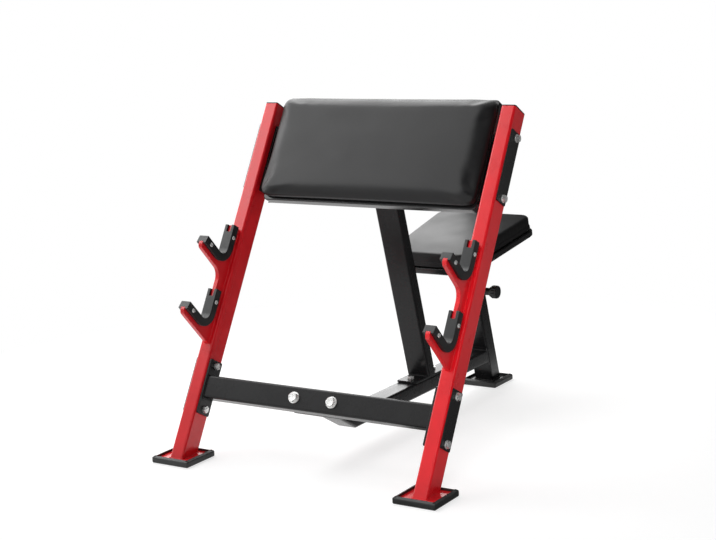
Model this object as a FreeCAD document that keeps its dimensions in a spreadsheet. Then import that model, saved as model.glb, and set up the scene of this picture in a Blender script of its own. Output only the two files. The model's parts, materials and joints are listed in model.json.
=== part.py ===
import FreeCAD, Part
import os
from math import atan2, cos, degrees, radians, sin, tan

import Sketcher
from FreeCAD import Placement, Rotation, Vector

# A preacher curl bench: two leaning front posts with bar hooks carry an arm pad, a spine runs back
# to a leaning sleeve, and a seat slides in the sleeve and is held by a pull pin.
# Millimetres, +Z up, +X to the right, +Y towards the seat, origin on the floor at the middle of the feet.

SIZES = [
    ("base_length", 1112, "length over the rubber feet"),
    ("post_lean", 30, "front posts back from upright, degrees"),
    ("post_length", 999, "front post along its middle line, from the floor"),
    ("post_setback", -4, "post's middle line behind the foot's middle, at the floor"),
    ("tube_wide", 60, "wide side of the frame tube"),
    ("tube_narrow", 40, "narrow side of the frame tube"),
    ("tube_wall", 3, "wall of the frame tubes"),
    ("tube_corner", 6, "outer corner radius of the frame tubes"),
    ("plug_depth", 14, "depth of the plugs in tube ends"),
    ("cap_head", 3, "head of a post cap over the tube's end"),
    ("plug_fit", 0.2, "clearance round a plug"),
    ("foot_side", 116, "side of a rubber foot"),
    ("foot_height", 16, "height of a rubber foot"),
    ("foot_floor", 5, "rubber under a base plate"),
    ("foot_rim", 7, "width of a rubber foot's rim"),
    ("foot_corner", 4, "corner radius of a rubber foot"),
    ("base_plate", 6, "thickness of the base plates"),
    ("plate_corner", 4, "corner radius of the steel plates"),
    ("plate_fit", 0.5, "clearance of a base plate in its foot"),
    ("low_beam", 196.5, "lower cross beam along the post, from the floor"),
    ("high_plate", 843, "arm pad's back plate along the post, from the floor"),
    ("flange", 6, "thickness of the welded flanges"),
    ("flange_width", 50, "width of the lower post flanges and of all straps"),
    ("high_flange_width", 36, "width of the upper post flanges"),
    ("low_flange_length", 146, "length of the lower post flanges and straps"),
    ("high_flange_length", 190, "length of the upper post flanges and straps"),
    ("bolt_end_distance", 14.5, "post bolt from the end of its flange"),
    ("strap", 3, "thickness of the outer straps"),
    ("bolt", 10, "diameter of the post bolts"),
    ("bolt_clear", 0.4, "bolt hole over bolt diameter"),
    ("bolt_flats", 17, "across flats of the post bolt heads and nuts"),
    ("bolt_head", 6.5, "height of the post bolt heads"),
    ("nut_height", 8, "height of the nuts"),
    ("nut_proud", 2, "bolt end past its nut"),
    ("nut_room", 24, "well for a nut in the arm pad's board"),
    ("washer_width", 21, "diameter of the post washers"),
    ("washer", 2, "thickness of the washers"),
    ("cross_plate_width", 150, "width of the plates across the beams' backs"),
    ("cross_bolt_spread", 112, "between the two bolts of a cross plate"),
    ("spine_bolt", 14, "diameter of the spine's front bolts"),
    ("spine_bolt_flats", 22, "across flats of the spine's front bolts and nuts"),
    ("spine_washer_width", 30, "diameter of the spine's front washers"),
    ("spine_level", 91.5, "middle of the spine's level run over the floor"),
    ("rear_flange_length", 62, "length of the spine's rear flange"),
    ("rear_bolt_spread", 28, "between the two rear flange bolts"),
    ("mid_distance", 389, "mid post's foot in front of the seat sleeve's foot"),
    ("mid_wide", 70, "width of the mid post"),
    ("mid_deep", 36, "depth of the mid post"),
    ("mid_plate_length", 170, "length of the mid post's foot plate"),
    ("mid_bolt_spread", 120, "between the two bolts of the mid post's foot plate"),
    ("hook_low", 380, "middle of the lower bar trough along the post"),
    ("hook_spacing", 180, "between the two bar troughs of a post"),
    ("hook_plate", 12, "thickness of a hook plate"),
    ("trough_out", 56, "middle of a trough in front of the post"),
    ("trough_radius", 20, "radius of a trough's bottom"),
    ("arm_rise", 17.4, "hook arm out of square to the post, degrees"),
    ("arm_length", 68, "hook arm from the trough's middle to its tip"),
    ("arm_depth", 54, "trough's middle to the hook plate's lower edge"),
    ("rear_rise", 67, "trough's middle to the top of the hook's rear arm"),
    ("tip_cut", 12, "bevel of a hook's tip, under the liner's end wall"),
    ("web_cut", 20, "liner's cheeks past its web at the top of the rear arm"),
    ("nose_round", 13, "radius of a hook's nose"),
    ("waist_round", 32, "radius under the upper hook"),
    ("liner_width", 29, "width of a hook liner"),
    ("liner_floor", 6, "liner between the bar and the hook plate"),
    ("liner_depth", 22, "height of a liner's cheeks"),
    ("cheek_round", 44, "radius of a liner's lower corner"),
    ("liner_fit", 0.2, "clearance of a liner on each side of the plate"),
    ("screw", 6, "diameter of the liner screws"),
    ("screw_head_width", 11, "diameter of the liner screw heads"),
    ("screw_head", 3, "height of the liner screw heads"),
    ("screw_out", 43, "front screw along the hook arm"),
    ("screw_up", 33, "rear screw over the trough's middle"),
    ("arm_pad_width", 662, "width of the arm cushion"),
    ("arm_pad_room", 4, "between the arm cushion's sides and the post flanges"),
    ("arm_pad_length", 296, "length of the arm cushion along the posts"),
    ("arm_pad_corner", 12, "corner radius of the arm cushion"),
    ("arm_pad_height", 29, "thickness of the arm cushion at its crown"),
    ("arm_pad_side", 11, "height of the arm cushion's side under its shoulder"),
    ("arm_pad_shoulder", 22, "width of the arm cushion's rounded shoulder"),
    ("arm_pad_end", 44, "width of the shoulder at the arm cushion's two ends"),
    ("arm_pad_rise", 30, "middle of the arm pad over its back plate's middle"),
    ("arm_board", 26, "thickness of the arm pad's board"),
    ("arm_board_width", 646, "width of the arm pad's board"),
    ("arm_board_lip", 1, "arm pad's board past its cushion's long sides"),
    ("pad_bolt", 8, "diameter of the arm pad's bolts"),
    ("pad_bolt_flats", 13, "across flats of the arm pad's bolts"),
    ("pad_bolt_bite", 11, "arm pad's bolts into the board"),
    ("pad_bolt_inner", 120, "inner arm pad bolts from the middle"),
    ("pad_bolt_outer", 250, "outer arm pad bolts from the middle"),
    ("side_draw", 4, "cushion's side drawn in at the board"),
    ("side_belly", 6, "widest line of a cushion over its board"),
    ("face_drop", 2, "edge of a cushion's face below its crown"),
    ("crown_edge_distance", 90, "flat crown of a cushion in from its side"),
    ("rear_setback", 6, "sleeve's middle line behind the rear foot's middle, on its plate"),
    ("seat_lean", 16.5, "seat sleeve forward from upright, degrees"),
    ("sleeve_wide", 60, "width of the seat sleeve"),
    ("sleeve_deep", 50, "depth of the seat sleeve"),
    ("sleeve_length", 343, "seat sleeve along its middle line, from its base plate"),
    ("bush_wall", 2, "wall of the sliding bush"),
    ("bush_depth", 34, "depth of the sliding bush in the sleeve"),
    ("bush_collar", 4, "height of the bush's collar on the sleeve"),
    ("slide_gap", 0.1, "running gap round the seat tube"),
    ("seat_tube_corner", 4, "outer corner radius of the seat tube"),
    ("seat_tube_wall", 2.5, "wall of the seat tube"),
    ("seat_tube_tail", 20, "seat tube below its lowest pin hole"),
    ("seat_reach", 431, "seat plate's underside along the sleeve, from the base plate"),
    ("seat_tilt", 9.7, "seat's rise towards the back, degrees"),
    ("seat_forward", 36, "middle of the seat in front of the seat tube"),
    ("seat_plate_width", 180, "width of the seat plate"),
    ("seat_plate_length", 210, "length of the seat plate"),
    ("seat_screw_distance", 16, "seat screws in from the seat plate's edges"),
    ("seat_screw_bite", 12, "seat screws into the board"),
    ("seat_width", 318, "width of the seat cushion at its rear"),
    ("seat_length", 378, "length of the seat cushion"),
    ("seat_narrowing", 27, "seat narrower on each side at its front than at its rear"),
    ("seat_corner", 34, "corner radius of the seat cushion"),
    ("seat_side", 22, "height of the seat cushion's side under its shoulder"),
    ("seat_shoulder", 15, "width of the seat cushion's rounded shoulder"),
    ("seat_board", 16, "thickness of the seat's board"),
    ("seat_board_lip", 0.5, "seat's board past its cushion"),
    ("seat_height", 40, "thickness of the seat cushion at its crown"),
    ("pin_place", 297, "pull pin along the sleeve, from the base plate"),
    ("pin_spacing", 30, "between the seat tube's pin holes"),
    ("pin_count", 5, "number of pin holes"),
    ("pin", 10, "diameter of the pin's nose"),
    ("pin_gap", 0.05, "running gap round the pin and its rod"),
    ("pin_nose", 4, "nose past the sleeve's outer side, with the pin parked"),
    ("pin_throw", 12, "travel of the pin from parked to home"),
    ("barrel_width", 22, "diameter of the pin's barrel"),
    ("barrel_length", 34, "length of the pin's barrel"),
    ("barrel_wall", 5, "inner end wall of the barrel"),
    ("barrel_cap", 4, "outer end wall of the barrel"),
    ("spring_room", 17, "diameter of the barrel's spring room"),
    ("pin_collar", 3, "thickness of the pin's collar"),
    ("collar_gap", 1, "collar from the barrel's end wall, with the pin home"),
    ("spring_gap", 0.3, "clearance round the spring and the collar"),
    ("rod", 8, "diameter of the pull rod"),
    ("rod_grip", 7, "pull rod into the knob"),
    ("knob_width", 38, "diameter of the knob"),
    ("knob_cap", 9, "solid end of the knob"),
    ("knob_lap", 2, "knob's skirt over the barrel, with the pin parked"),
    ("knob_gap", 0.7, "clearance of the knob's skirt round the barrel"),
    ("knob_round", 4, "rounding of the knob's outer rim"),
]

doc = FreeCAD.newDocument("PreacherCurlBench")
sheet = doc.addObject("Spreadsheet::Sheet", "Sizes")


class Amount:
    """A length or ratio, kept with the sheet formula that gives it."""

    def __init__(self, value, text=None):
        self.value = float(value)
        self.text = str(value) if text is None else text

    def __float__(self):
        return self.value

    def __add__(self, other):
        other = amount(other)
        return Amount(self.value + other.value, f"({self.text} + {other.text})")

    def __sub__(self, other):
        other = amount(other)
        return Amount(self.value - other.value, f"({self.text} - {other.text})")

    def __mul__(self, other):
        other = amount(other)
        return Amount(self.value * other.value, f"{self.text} * {other.text}")

    def __truediv__(self, other):
        other = amount(other)
        return Amount(self.value / other.value, f"{self.text} / {other.text}")

    def __neg__(self):
        return Amount(-self.value, f"(-{self.text})")


def amount(number):
    return number if isinstance(number, Amount) else Amount(number)


def sine(angle):
    return Amount(sin(radians(float(angle))), f"sin({angle.text})")


def cosine(angle):
    return Amount(cos(radians(float(angle))), f"cos({angle.text})")


class Sizes:
    """The sheet's cells by name."""

    def __init__(self, rows):
        for row, (name, value, meaning) in enumerate(rows, start=1):
            sheet.set(f"A{row}", meaning)
            sheet.set(f"B{row}", str(value))
            sheet.setAlias(f"B{row}", name)
            setattr(self, name, Amount(value, f"Sizes.{name}"))


size = Sizes(SIZES)
doc.recompute()
NOTHING = Amount(0)
parts = []


# Places

def spot(x, y, z, turn=Rotation()):
    return Placement(Vector(float(x), float(y), float(z)), turn)


def leaning(y, z, degrees_back):
    """Frame at a point of the middle plane, turned about the X axis."""
    return spot(0, y, z, Rotation(Vector(1, 0, 0), degrees_back))


Z_TO_BACK = Rotation(Vector(1, 0, 0), -90)
Z_TO_FRONT = Rotation(Vector(1, 0, 0), 90)
Z_TO_RIGHT = Rotation(Vector(0, 1, 0), 90)
Z_TO_LEFT = Rotation(Vector(0, 1, 0), -90)
Z_DOWN = Rotation(Vector(1, 0, 0), 180)

foot_place = (size.base_length - size.foot_side) / 2
plate_top = size.foot_floor + size.base_plate
post_spacing = size.arm_pad_width + (size.arm_pad_room + size.flange) * 2 + size.tube_narrow
post_x = post_spacing / 2
half_wide = size.tube_wide / 2
half_narrow = size.tube_narrow / 2
half_sleeve = size.sleeve_wide / 2
spine_top = size.spine_level + half_narrow
mid_top = spine_top + size.base_plate

# Z of the front frame runs up the posts and Y goes through them to the back.
front = leaning(float(size.post_setback) - float(foot_place), 0, -float(size.post_lean))
# Z of the rear frame runs up the seat sleeve.
rear_place = foot_place + size.rear_setback
mid_place = rear_place - size.mid_distance
rear = leaning(float(rear_place), plate_top, float(size.seat_lean))
# The seat frame lies under the seat plate, on the seat tube's middle line.
seat = leaning(0, 0, float(size.seat_tilt))
seat.Base = rear.multVec(Vector(0, 0, float(size.seat_reach)))


# Features

def new_body(name):
    return doc.addObject("PartDesign::Body", name)


def new_sketch(body, role, name):
    sketch = body.newObject("Sketcher::SketchObject", name)
    plane = next(item for item in body.Origin.OriginFeatures if item.Role == role)
    sketch.AttachmentSupport = (plane, "")
    sketch.MapMode = "FlatFace"
    return sketch


def bind(sketch, kind, *where):
    """Adds a constraint whose last value follows the sheet."""
    value = where[-1]
    index = sketch.addConstraint(Sketcher.Constraint(kind, *where[:-1], float(value)))
    sketch.setExpression(f"Constraints[{index}]", value.text)


def rounded_rectangle(sketch, across, along, corner):
    """Closed outline round the sketch's origin."""
    x, y, r = float(across) / 2, float(along) / 2, float(corner)
    first = sketch.GeometryCount
    ends = [(r - x, -y, x - r, -y), (x, r - y, x, y - r), (x - r, y, r - x, y), (-x, y - r, -x, r - y)]
    for x0, y0, x1, y1 in ends:
        sketch.addGeometry(Part.LineSegment(Vector(x0, y0, 0), Vector(x1, y1, 0)), False)
    for turn, (cx, cy) in enumerate([(x - r, r - y), (x - r, y - r), (r - x, y - r), (r - x, r - y)]):
        circle = Part.Circle(Vector(cx, cy, 0), Vector(0, 0, 1), r)
        sketch.addGeometry(Part.ArcOfCircle(circle, radians(90 * turn - 90), radians(90 * turn)), False)
    for side in range(4):
        arc = first + 4 + side
        sketch.addConstraint(Sketcher.Constraint("Tangent", first + side, 2, arc, 1))
        sketch.addConstraint(Sketcher.Constraint("Tangent", arc, 2, first + (side + 1) % 4, 1))
        level = "Horizontal" if side % 2 == 0 else "Vertical"
        sketch.addConstraint(Sketcher.Constraint(level, first + side))
        if side:
            sketch.addConstraint(Sketcher.Constraint("Equal", first + 4, arc))
    sketch.addConstraint(Sketcher.Constraint("Symmetric", first, 1, first + 2, 1, -1, 1))
    bind(sketch, "Radius", first + 4, corner)
    bind(sketch, "DistanceX", first + 3, 1, first + 1, 1, across)
    bind(sketch, "DistanceY", first, 1, first + 2, 1, along)


def polygon(sketch, points):
    """Straight-sided outline through points of the sketch."""
    first = sketch.GeometryCount
    corners = [Vector(float(x), float(y), 0) for x, y in points]
    for index, corner in enumerate(corners):
        following = corners[(index + 1) % len(corners)]
        sketch.addGeometry(Part.LineSegment(corner, following), False)
    for index, (x, y) in enumerate(points):
        following = first + (index + 1) % len(points)
        sketch.addConstraint(Sketcher.Constraint("Coincident", first + index, 2, following, 1))
        bind(sketch, "DistanceX", -1, 1, first + index, 1, x)
        bind(sketch, "DistanceY", -1, 1, first + index, 1, y)


def circles(sketch, middles, width):
    for x, y in middles:
        middle = Vector(float(x), float(y), 0)
        index = sketch.addGeometry(Part.Circle(middle, Vector(0, 0, 1), float(width) / 2), False)
        bind(sketch, "Diameter", index, width)
        bind(sketch, "DistanceX", -1, 1, index, 3, x)
        bind(sketch, "DistanceY", -1, 1, index, 3, y)


def pad(body, sketch, length, middle=False, down=False):
    feature = body.newObject("PartDesign::Pad", body.Name + "Pad")
    feature.Profile = sketch
    feature.Midplane = middle
    feature.Reversed = down
    feature.setExpression("Length", length.text)
    doc.recompute()
    return feature


def pocket(body, sketch, length=None, middle=True):
    """Cuts the outline out of the body, right through it where no length is given."""
    before = body.Shape.Volume
    feature = body.newObject("PartDesign::Pocket", body.Name + "Pocket")
    feature.Profile = sketch
    feature.Midplane = middle
    if length is None:
        feature.Type = "ThroughAll"
    else:
        feature.setExpression("Length", length.text)
    doc.recompute()
    if body.Shape.Volume >= before:
        raise ValueError(body.Label + ": a pocket removes nothing")
    return feature


def drill(body, role, middles, width):
    sketch = new_sketch(body, role, body.Name + "Holes")
    circles(sketch, middles, width)
    return pocket(body, sketch)


def round_edges(body, points, radius, plane="yz"):
    """Rounds the edges that cross a plane square at the given points of it."""
    base = body.Tip
    names = []
    for number, edge in enumerate(base.Shape.Edges, start=1):
        ends = [vertex.Point for vertex in edge.Vertexes]
        for point in points:
            target = [(axis, float(at)) for axis, at in zip(plane, point)]
            offsets = [sum(abs(getattr(end, axis) - at) for axis, at in target) for end in ends]
            if len(ends) == 2 and max(offsets) < 0.01:
                names.append(f"Edge{number}")
    feature = body.newObject("PartDesign::Fillet", body.Name + "Round")
    feature.Base = (base, names)
    feature.setExpression("Radius", radius.text)
    doc.recompute()


def tube(name, role, across, along, length, middle=False, corner=None, wall=None):
    corner = corner or size.tube_corner
    wall = wall or size.tube_wall
    body = new_body(name)
    sketch = new_sketch(body, role, name + "Section")
    rounded_rectangle(sketch, across, along, corner)
    rounded_rectangle(sketch, across - wall * 2, along - wall * 2, corner - wall)
    pad(body, sketch, length, middle)
    return body


def plate(name, across, along, thickness, role="XY_Plane", corner=None, holes=(), hole_width=None):
    body = new_body(name)
    sketch = new_sketch(body, role, name + "Outline")
    rounded_rectangle(sketch, across, along, corner or size.plate_corner)
    if holes:
        circles(sketch, holes, hole_width)
    pad(body, sketch, thickness)
    return body


def cylinder(name, width, height, place=Placement()):
    item = doc.addObject("Part::Cylinder", name)
    item.setExpression("Radius", (width / 2).text)
    item.setExpression("Height", height.text)
    item.Placement = place
    return item


def hexagon(name, flats, height, place=Placement()):
    item = doc.addObject("Part::Prism", name)
    item.Polygon = 6
    item.setExpression("Circumradius", f"{flats.text} / 2 / cos(30)")
    item.setExpression("Height", height.text)
    item.Placement = place
    return item


def fuse(name, pieces):
    item = doc.addObject("Part::MultiFuse", name)
    item.Shapes = pieces
    return item


def cut(name, base, tool):
    item = doc.addObject("Part::Cut", name)
    item.Base = base
    item.Tool = tool
    return item


def half_space(name, point, outward):
    """A block far larger than any piece, lying on the plane through the point."""
    side = size.post_length * 2
    item = doc.addObject("Part::Box", name)
    for measure in ("Length", "Width", "Height"):
        item.setExpression(measure, side.text)
    item.Placement = Placement(point, Rotation(Vector(0, 0, 1), outward)) * spot(-side / 2, -side / 2, 0)
    return item


def trimmed(name, base, point, outward):
    """The piece without what lies past the plane."""
    return cut(name, base, half_space(name + "Waste", point, outward))


def group(name, pieces):
    item = doc.addObject("Part::Compound", name)
    item.Links = pieces
    return item


def keep(item, label, place=None):
    """Names a finished sub-part and puts it in its place."""
    item.Label = label
    if place is not None:
        item.Placement = place
    parts.append(item)
    return item


def bolt(name, width, flats, head, length, place):
    """Hexagon bolt, its head on +Z from the origin and its shank below."""
    top = hexagon(name + "Head", flats, head)
    shank = cylinder(name + "Shank", width, length, spot(0, 0, -length))
    item = fuse(name, [top, shank])
    item.Placement = place
    return item


def nut(name, width, flats, height, place):
    item = cut(name, hexagon(name + "Blank", flats, height), cylinder(name + "Bore", width, height))
    item.Placement = place
    return item


def washer(name, outer, inner, place):
    item = cut(name, cylinder(name + "Disc", outer, size.washer), cylinder(name + "Bore", inner, size.washer))
    item.Placement = place
    return item


SIDES = (("left", -1), ("right", 1))


# Rubber feet and their base plates

recess = size.foot_side - size.foot_rim * 2


def rubber_foot(label, x, y):
    body = new_body("Foot" + label)
    sketch = new_sketch(body, "XY_Plane", "FootOutline")
    rounded_rectangle(sketch, size.foot_side, size.foot_side, size.foot_corner)
    pad(body, sketch, size.foot_height)
    hollow = new_sketch(body, "XY_Plane", "FootRecess")
    hollow.setExpression("AttachmentOffset.Base.z", size.foot_height.text)
    rounded_rectangle(hollow, recess, recess, size.plate_corner + size.plate_fit)
    pocket(body, hollow, size.foot_height - size.foot_floor, middle=False)
    keep(body, "foot_" + label, spot(x, y, 0))
    side = recess - size.plate_fit * 2
    steel = plate("BasePlate" + label, side, side, size.base_plate)
    keep(steel, "base_plate_" + label, spot(x, y, size.foot_floor))


for side_name, sign in SIDES:
    rubber_foot("front_" + side_name, post_x * sign, -foot_place)
rubber_foot("rear", 0, foot_place)

# Front posts

low_reach = size.low_flange_length / 2 - size.bolt_end_distance
high_reach = size.high_flange_length / 2 - size.bolt_end_distance
bolt_hole = size.bolt + size.bolt_clear
high_back = (size.flange_width - size.high_flange_width) / 2
bolt_places = [
    (NOTHING, size.low_beam - low_reach),
    (NOTHING, size.low_beam + low_reach),
    (high_back, size.high_plate - high_reach),
    (high_back, size.high_plate + high_reach),
]


def front_post(label, sign):
    """A tube square at its top and level at its foot; it starts below the floor before it is trimmed."""
    spare = size.tube_wide
    name = "Post" + label
    top = size.post_length - size.cap_head
    body = tube(name + "Tube", "XY_Plane", size.tube_narrow, size.tube_wide, top + spare)
    drill(body, "YZ_Plane", [(back, height + spare) for back, height in bolt_places], bolt_hole)
    body.Placement = front * spot(post_x * sign, 0, -spare)
    keep(trimmed(name, body, Vector(0, 0, float(plate_top)), Vector(0, 0, -1)), "post_" + label)
    bore = size.tube_wall * 2 + size.plug_fit * 2
    cap = new_body(name + "Cap")
    plug = new_sketch(cap, "XY_Plane", name + "CapPlug")
    rounded_rectangle(plug, size.tube_narrow - bore, size.tube_wide - bore, size.tube_corner - size.tube_wall)
    pad(cap, plug, size.plug_depth, down=True)
    head = new_sketch(cap, "XY_Plane", name + "CapHead")
    rounded_rectangle(head, size.tube_narrow, size.tube_wide, size.tube_corner)
    pad(cap, head, size.cap_head)
    keep(cap, "post_cap_" + label, front * spot(post_x * sign, 0, top))


for side_name, sign in SIDES:
    front_post(side_name, sign)

# Lower beam and arm pad's back plate between the posts, with flanges, straps and bolts

beam_length = post_spacing - size.tube_narrow - size.flange * 2
cross_holes = [(size.cross_bolt_spread / -2, NOTHING), (size.cross_bolt_spread / 2, NOTHING)]
pad_bolt_places = [size.pad_bolt_inner, size.pad_bolt_outer]
pad_holes = [(reach * sign, NOTHING) for reach in pad_bolt_places for _, sign in SIDES]
spine_hole = size.spine_bolt + size.bolt_clear
pad_hole = size.pad_bolt + size.bolt_clear


def post_plates(level, height, back, width, length, reach):
    """Flanges on the posts' inner sides and straps on their outer sides."""
    name = level.capitalize()
    flange_holes = [(NOTHING, -reach), (NOTHING, reach)]
    strap_holes = [(back, -reach), (back, reach)]
    outside = post_x + half_narrow
    for side_name, sign in SIDES:
        flange = plate(name + "Flange" + side_name, width, length, size.flange,
                       "YZ_Plane", holes=flange_holes, hole_width=bolt_hole)
        flange_x = beam_length / 2 if sign > 0 else -beam_length / 2 - size.flange
        keep(flange, f"{level}_flange_{side_name}", front * spot(flange_x, back, height))
        strap = plate(name + "Strap" + side_name, size.flange_width, length, size.strap,
                      "YZ_Plane", holes=strap_holes, hole_width=bolt_hole)
        strap_x = outside if sign > 0 else -outside - size.strap
        keep(strap, f"{level}_strap_{side_name}", front * spot(strap_x, 0, height))


post_plates("lower", size.low_beam, NOTHING, size.flange_width, size.low_flange_length, low_reach)
post_plates("upper", size.high_plate, high_back, size.high_flange_width, size.high_flange_length, high_reach)

beam = tube("LowerBeam", "YZ_Plane", size.tube_narrow, size.tube_wide, beam_length, middle=True)
drill(beam, "XZ_Plane", cross_holes, spine_hole)
keep(beam, "lower_beam", front * spot(0, 0, size.low_beam))

# The arm pad's back plate is flush with the rear edges of the upper flanges.
back_face = size.flange_width / 2
pad_face = back_face - size.flange
back_plate = plate("PadBackPlate", beam_length, size.high_flange_length, size.flange,
                   holes=pad_holes, hole_width=pad_hole)
drill(back_plate, "XY_Plane", cross_holes, bolt_hole)
keep(back_plate, "pad_back_plate", front * spot(0, pad_face, size.high_plate, Z_TO_BACK))


def frame_bolt(name, length, place):
    return bolt(name, size.bolt, size.bolt_flats, size.bolt_head, length, place)


def frame_nut(name, place):
    return nut(name, bolt_hole, size.bolt_flats, size.nut_height, place)


strap_face = post_x + half_narrow + size.strap
flange_face = beam_length / 2
post_bolt_length = strap_face + size.washer - flange_face + size.nut_height + size.nut_proud
post_bolts, post_washers, post_nuts = [], [], []
for side_name, sign in SIDES:
    outward = Z_TO_RIGHT if sign > 0 else Z_TO_LEFT
    inward = Z_TO_LEFT if sign > 0 else Z_TO_RIGHT
    for number, (back, height) in enumerate(bolt_places):
        name = f"Post{side_name}{number}"
        head = front * spot((strap_face + size.washer) * sign, back, height, outward)
        post_bolts.append(frame_bolt(name + "Bolt", post_bolt_length, head))
        seat_of_washer = front * spot(strap_face * sign, back, height, outward)
        post_washers.append(washer(name + "Washer", size.washer_width, bolt_hole, seat_of_washer))
        seat_of_nut = front * spot(flange_face * sign, back, height, inward)
        post_nuts.append(frame_nut(name + "Nut", seat_of_nut))
keep(group("PostBolts", post_bolts), "post_bolts")
keep(group("PostWashers", post_washers), "post_washers")
keep(group("PostNuts", post_nuts), "post_nuts")

# Bar hooks: in a plate's outline, Y is in front of the post (negative) and Z is up the post

rise_sine = sine(size.arm_rise)
rise_cosine = cosine(size.arm_rise)
plate_offset = size.trough_radius + size.liner_floor
cheek_offset = size.trough_radius + size.liner_depth


def hook_point(out, up):
    return (-out, up)


def arm_tip(trough, offset, length):
    """End of the hook arm, on the line that lies the given offset below the trough's middle."""
    out = size.trough_out + offset * rise_sine + length * rise_cosine
    return hook_point(out, trough - offset * rise_cosine + length * rise_sine)


def bevelled_tip(trough):
    """The two corners that the bevel leaves at a hook plate's tip."""
    lower = arm_tip(trough, plate_offset + size.tip_cut, size.arm_length)
    return [lower, arm_tip(trough, plate_offset, size.arm_length - size.tip_cut)]


def trough_corner(trough, offset):
    """Where the arm's line meets the rear arm's line, before it is rounded."""
    drop = (offset + offset * rise_sine) / rise_cosine
    return hook_point(size.trough_out - offset, trough - drop)


def rear_top(trough, offset, height):
    return hook_point(size.trough_out - offset, trough + height)


def underside(trough, out):
    """Lower edge of a hook plate at a distance in front of the post."""
    slope = (size.trough_out - out) * rise_sine
    return hook_point(out, trough - (slope + size.arm_depth) / rise_cosine)


def screw_spots(trough):
    middle = size.trough_radius + size.liner_depth / 2
    return [
        arm_tip(trough, middle, size.screw_out),
        rear_top(trough, middle, size.screw_up),
    ]


troughs = [("lower", size.hook_low), ("upper", size.hook_low + size.hook_spacing)]
screw_hole = size.screw + size.bolt_clear


def hook_plate(label, sign):
    low, high = [trough for _, trough in troughs]
    edge = size.trough_out - plate_offset
    top = high + size.rear_rise
    noses = [arm_tip(trough, size.arm_depth, size.arm_length) for trough in (low, high)]
    corners = [trough_corner(trough, plate_offset) for trough in (low, high)]
    waist = underside(high, edge)
    outline = [underside(low, NOTHING), noses[0], *bevelled_tip(low), corners[0], waist]
    outline += [noses[1], *bevelled_tip(high), corners[1], hook_point(edge, top), hook_point(NOTHING, top)]
    body = new_body("HookPlate" + label)
    sketch = new_sketch(body, "YZ_Plane", "HookOutline")
    polygon(sketch, outline)
    pad(body, sketch, size.hook_plate, middle=True)
    round_edges(body, noses, size.nose_round)
    round_edges(body, corners, plate_offset)
    round_edges(body, [waist], size.waist_round)
    drill(body, "YZ_Plane", screw_spots(low) + screw_spots(high), screw_hole)
    keep(body, "hook_plate_" + label, front * spot(post_x * sign, -half_wide, 0))


def hook_liner(label, level, sign, trough):
    """Plastic channel folded over the trough's edge and the hook's tip, open at the rear arm's top."""
    inner, outer = size.trough_radius, cheek_offset
    body = new_body(f"Liner{level}{label}")
    sketch = new_sketch(body, "YZ_Plane", "LinerOutline")
    polygon(sketch, [
        arm_tip(trough, inner, size.arm_length),
        trough_corner(trough, inner),
        rear_top(trough, inner, size.rear_rise),
        rear_top(trough, outer, size.rear_rise),
        trough_corner(trough, outer),
        arm_tip(trough, outer, size.arm_length),
    ])
    pad(body, sketch, size.liner_width, middle=True)
    past = size.liner_floor
    slot = new_sketch(body, "YZ_Plane", "LinerSlot")
    web_top = size.rear_rise - size.web_cut
    bevel_low, bevel_high = bevelled_tip(trough)
    polygon(slot, [
        bevel_high,
        trough_corner(trough, plate_offset),
        rear_top(trough, plate_offset, web_top),
        rear_top(trough, inner - past, web_top),
        rear_top(trough, inner - past, size.rear_rise + past),
        rear_top(trough, outer + past, size.rear_rise + past),
        trough_corner(trough, outer + past),
        arm_tip(trough, outer + past, size.arm_length + past),
        arm_tip(trough, plate_offset + size.tip_cut + past, size.arm_length + past),
        bevel_low,
    ])
    pocket(body, slot, size.hook_plate + size.liner_fit * 2)
    round_edges(body, [trough_corner(trough, plate_offset)], plate_offset)
    round_edges(body, [trough_corner(trough, inner)], inner)
    round_edges(body, [trough_corner(trough, outer)], size.cheek_round)
    drill(body, "YZ_Plane", screw_spots(trough), screw_hole)
    keep(body, f"hook_liner_{level}_{label}", front * spot(post_x * sign, -half_wide, 0))


def liner_screw(name, sign, place):
    """Sleeve screw with a pan head on both cheeks."""
    y, z = place
    half = size.liner_width / 2
    pieces = [cylinder(name + "Shank", size.screw, size.liner_width, spot(0, 0, -half))]
    for end, height in (("Right", half), ("Left", -half - size.screw_head)):
        pieces.append(cylinder(name + end, size.screw_head_width, size.screw_head, spot(0, 0, height)))
    item = fuse(name, pieces)
    item.Placement = front * spot(post_x * sign, y - half_wide, z, Z_TO_RIGHT)
    return item


hook_screws = []
for side_name, sign in SIDES:
    hook_plate(side_name, sign)
    for level, trough in troughs:
        hook_liner(side_name, level, sign, trough)
        for number, place in enumerate(screw_spots(trough)):
            hook_screws.append(liner_screw(f"Screw{side_name}{level}{number}", sign, place))
keep(group("HookScrews", hook_screws), "hook_screws")

# Spine: a stub square to the lower beam, mitred to a level run that ends at the seat sleeve

stub_start = front * spot(0, half_narrow + size.flange, size.low_beam, Z_TO_BACK)
lean = radians(float(size.post_lean))
stub_run = (stub_start.Base.z - float(size.spine_level)) / sin(lean)
mitre = stub_start.multVec(Vector(0, 0, stub_run))
mitre_normal = Vector(0, cos(lean / 2), -sin(lean / 2))
sleeve_front = size.sleeve_deep / 2
flange_front = sleeve_front + size.flange
sleeve_forward = rear.Rotation.multVec(Vector(0, -1, 0))
spine_end = rear.multVec(Vector(0, -float(flange_front), 0))
run_mid_bolts = [(NOTHING, mid_place + size.mid_bolt_spread * half) for half in (-0.5, 0.5)]

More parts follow.
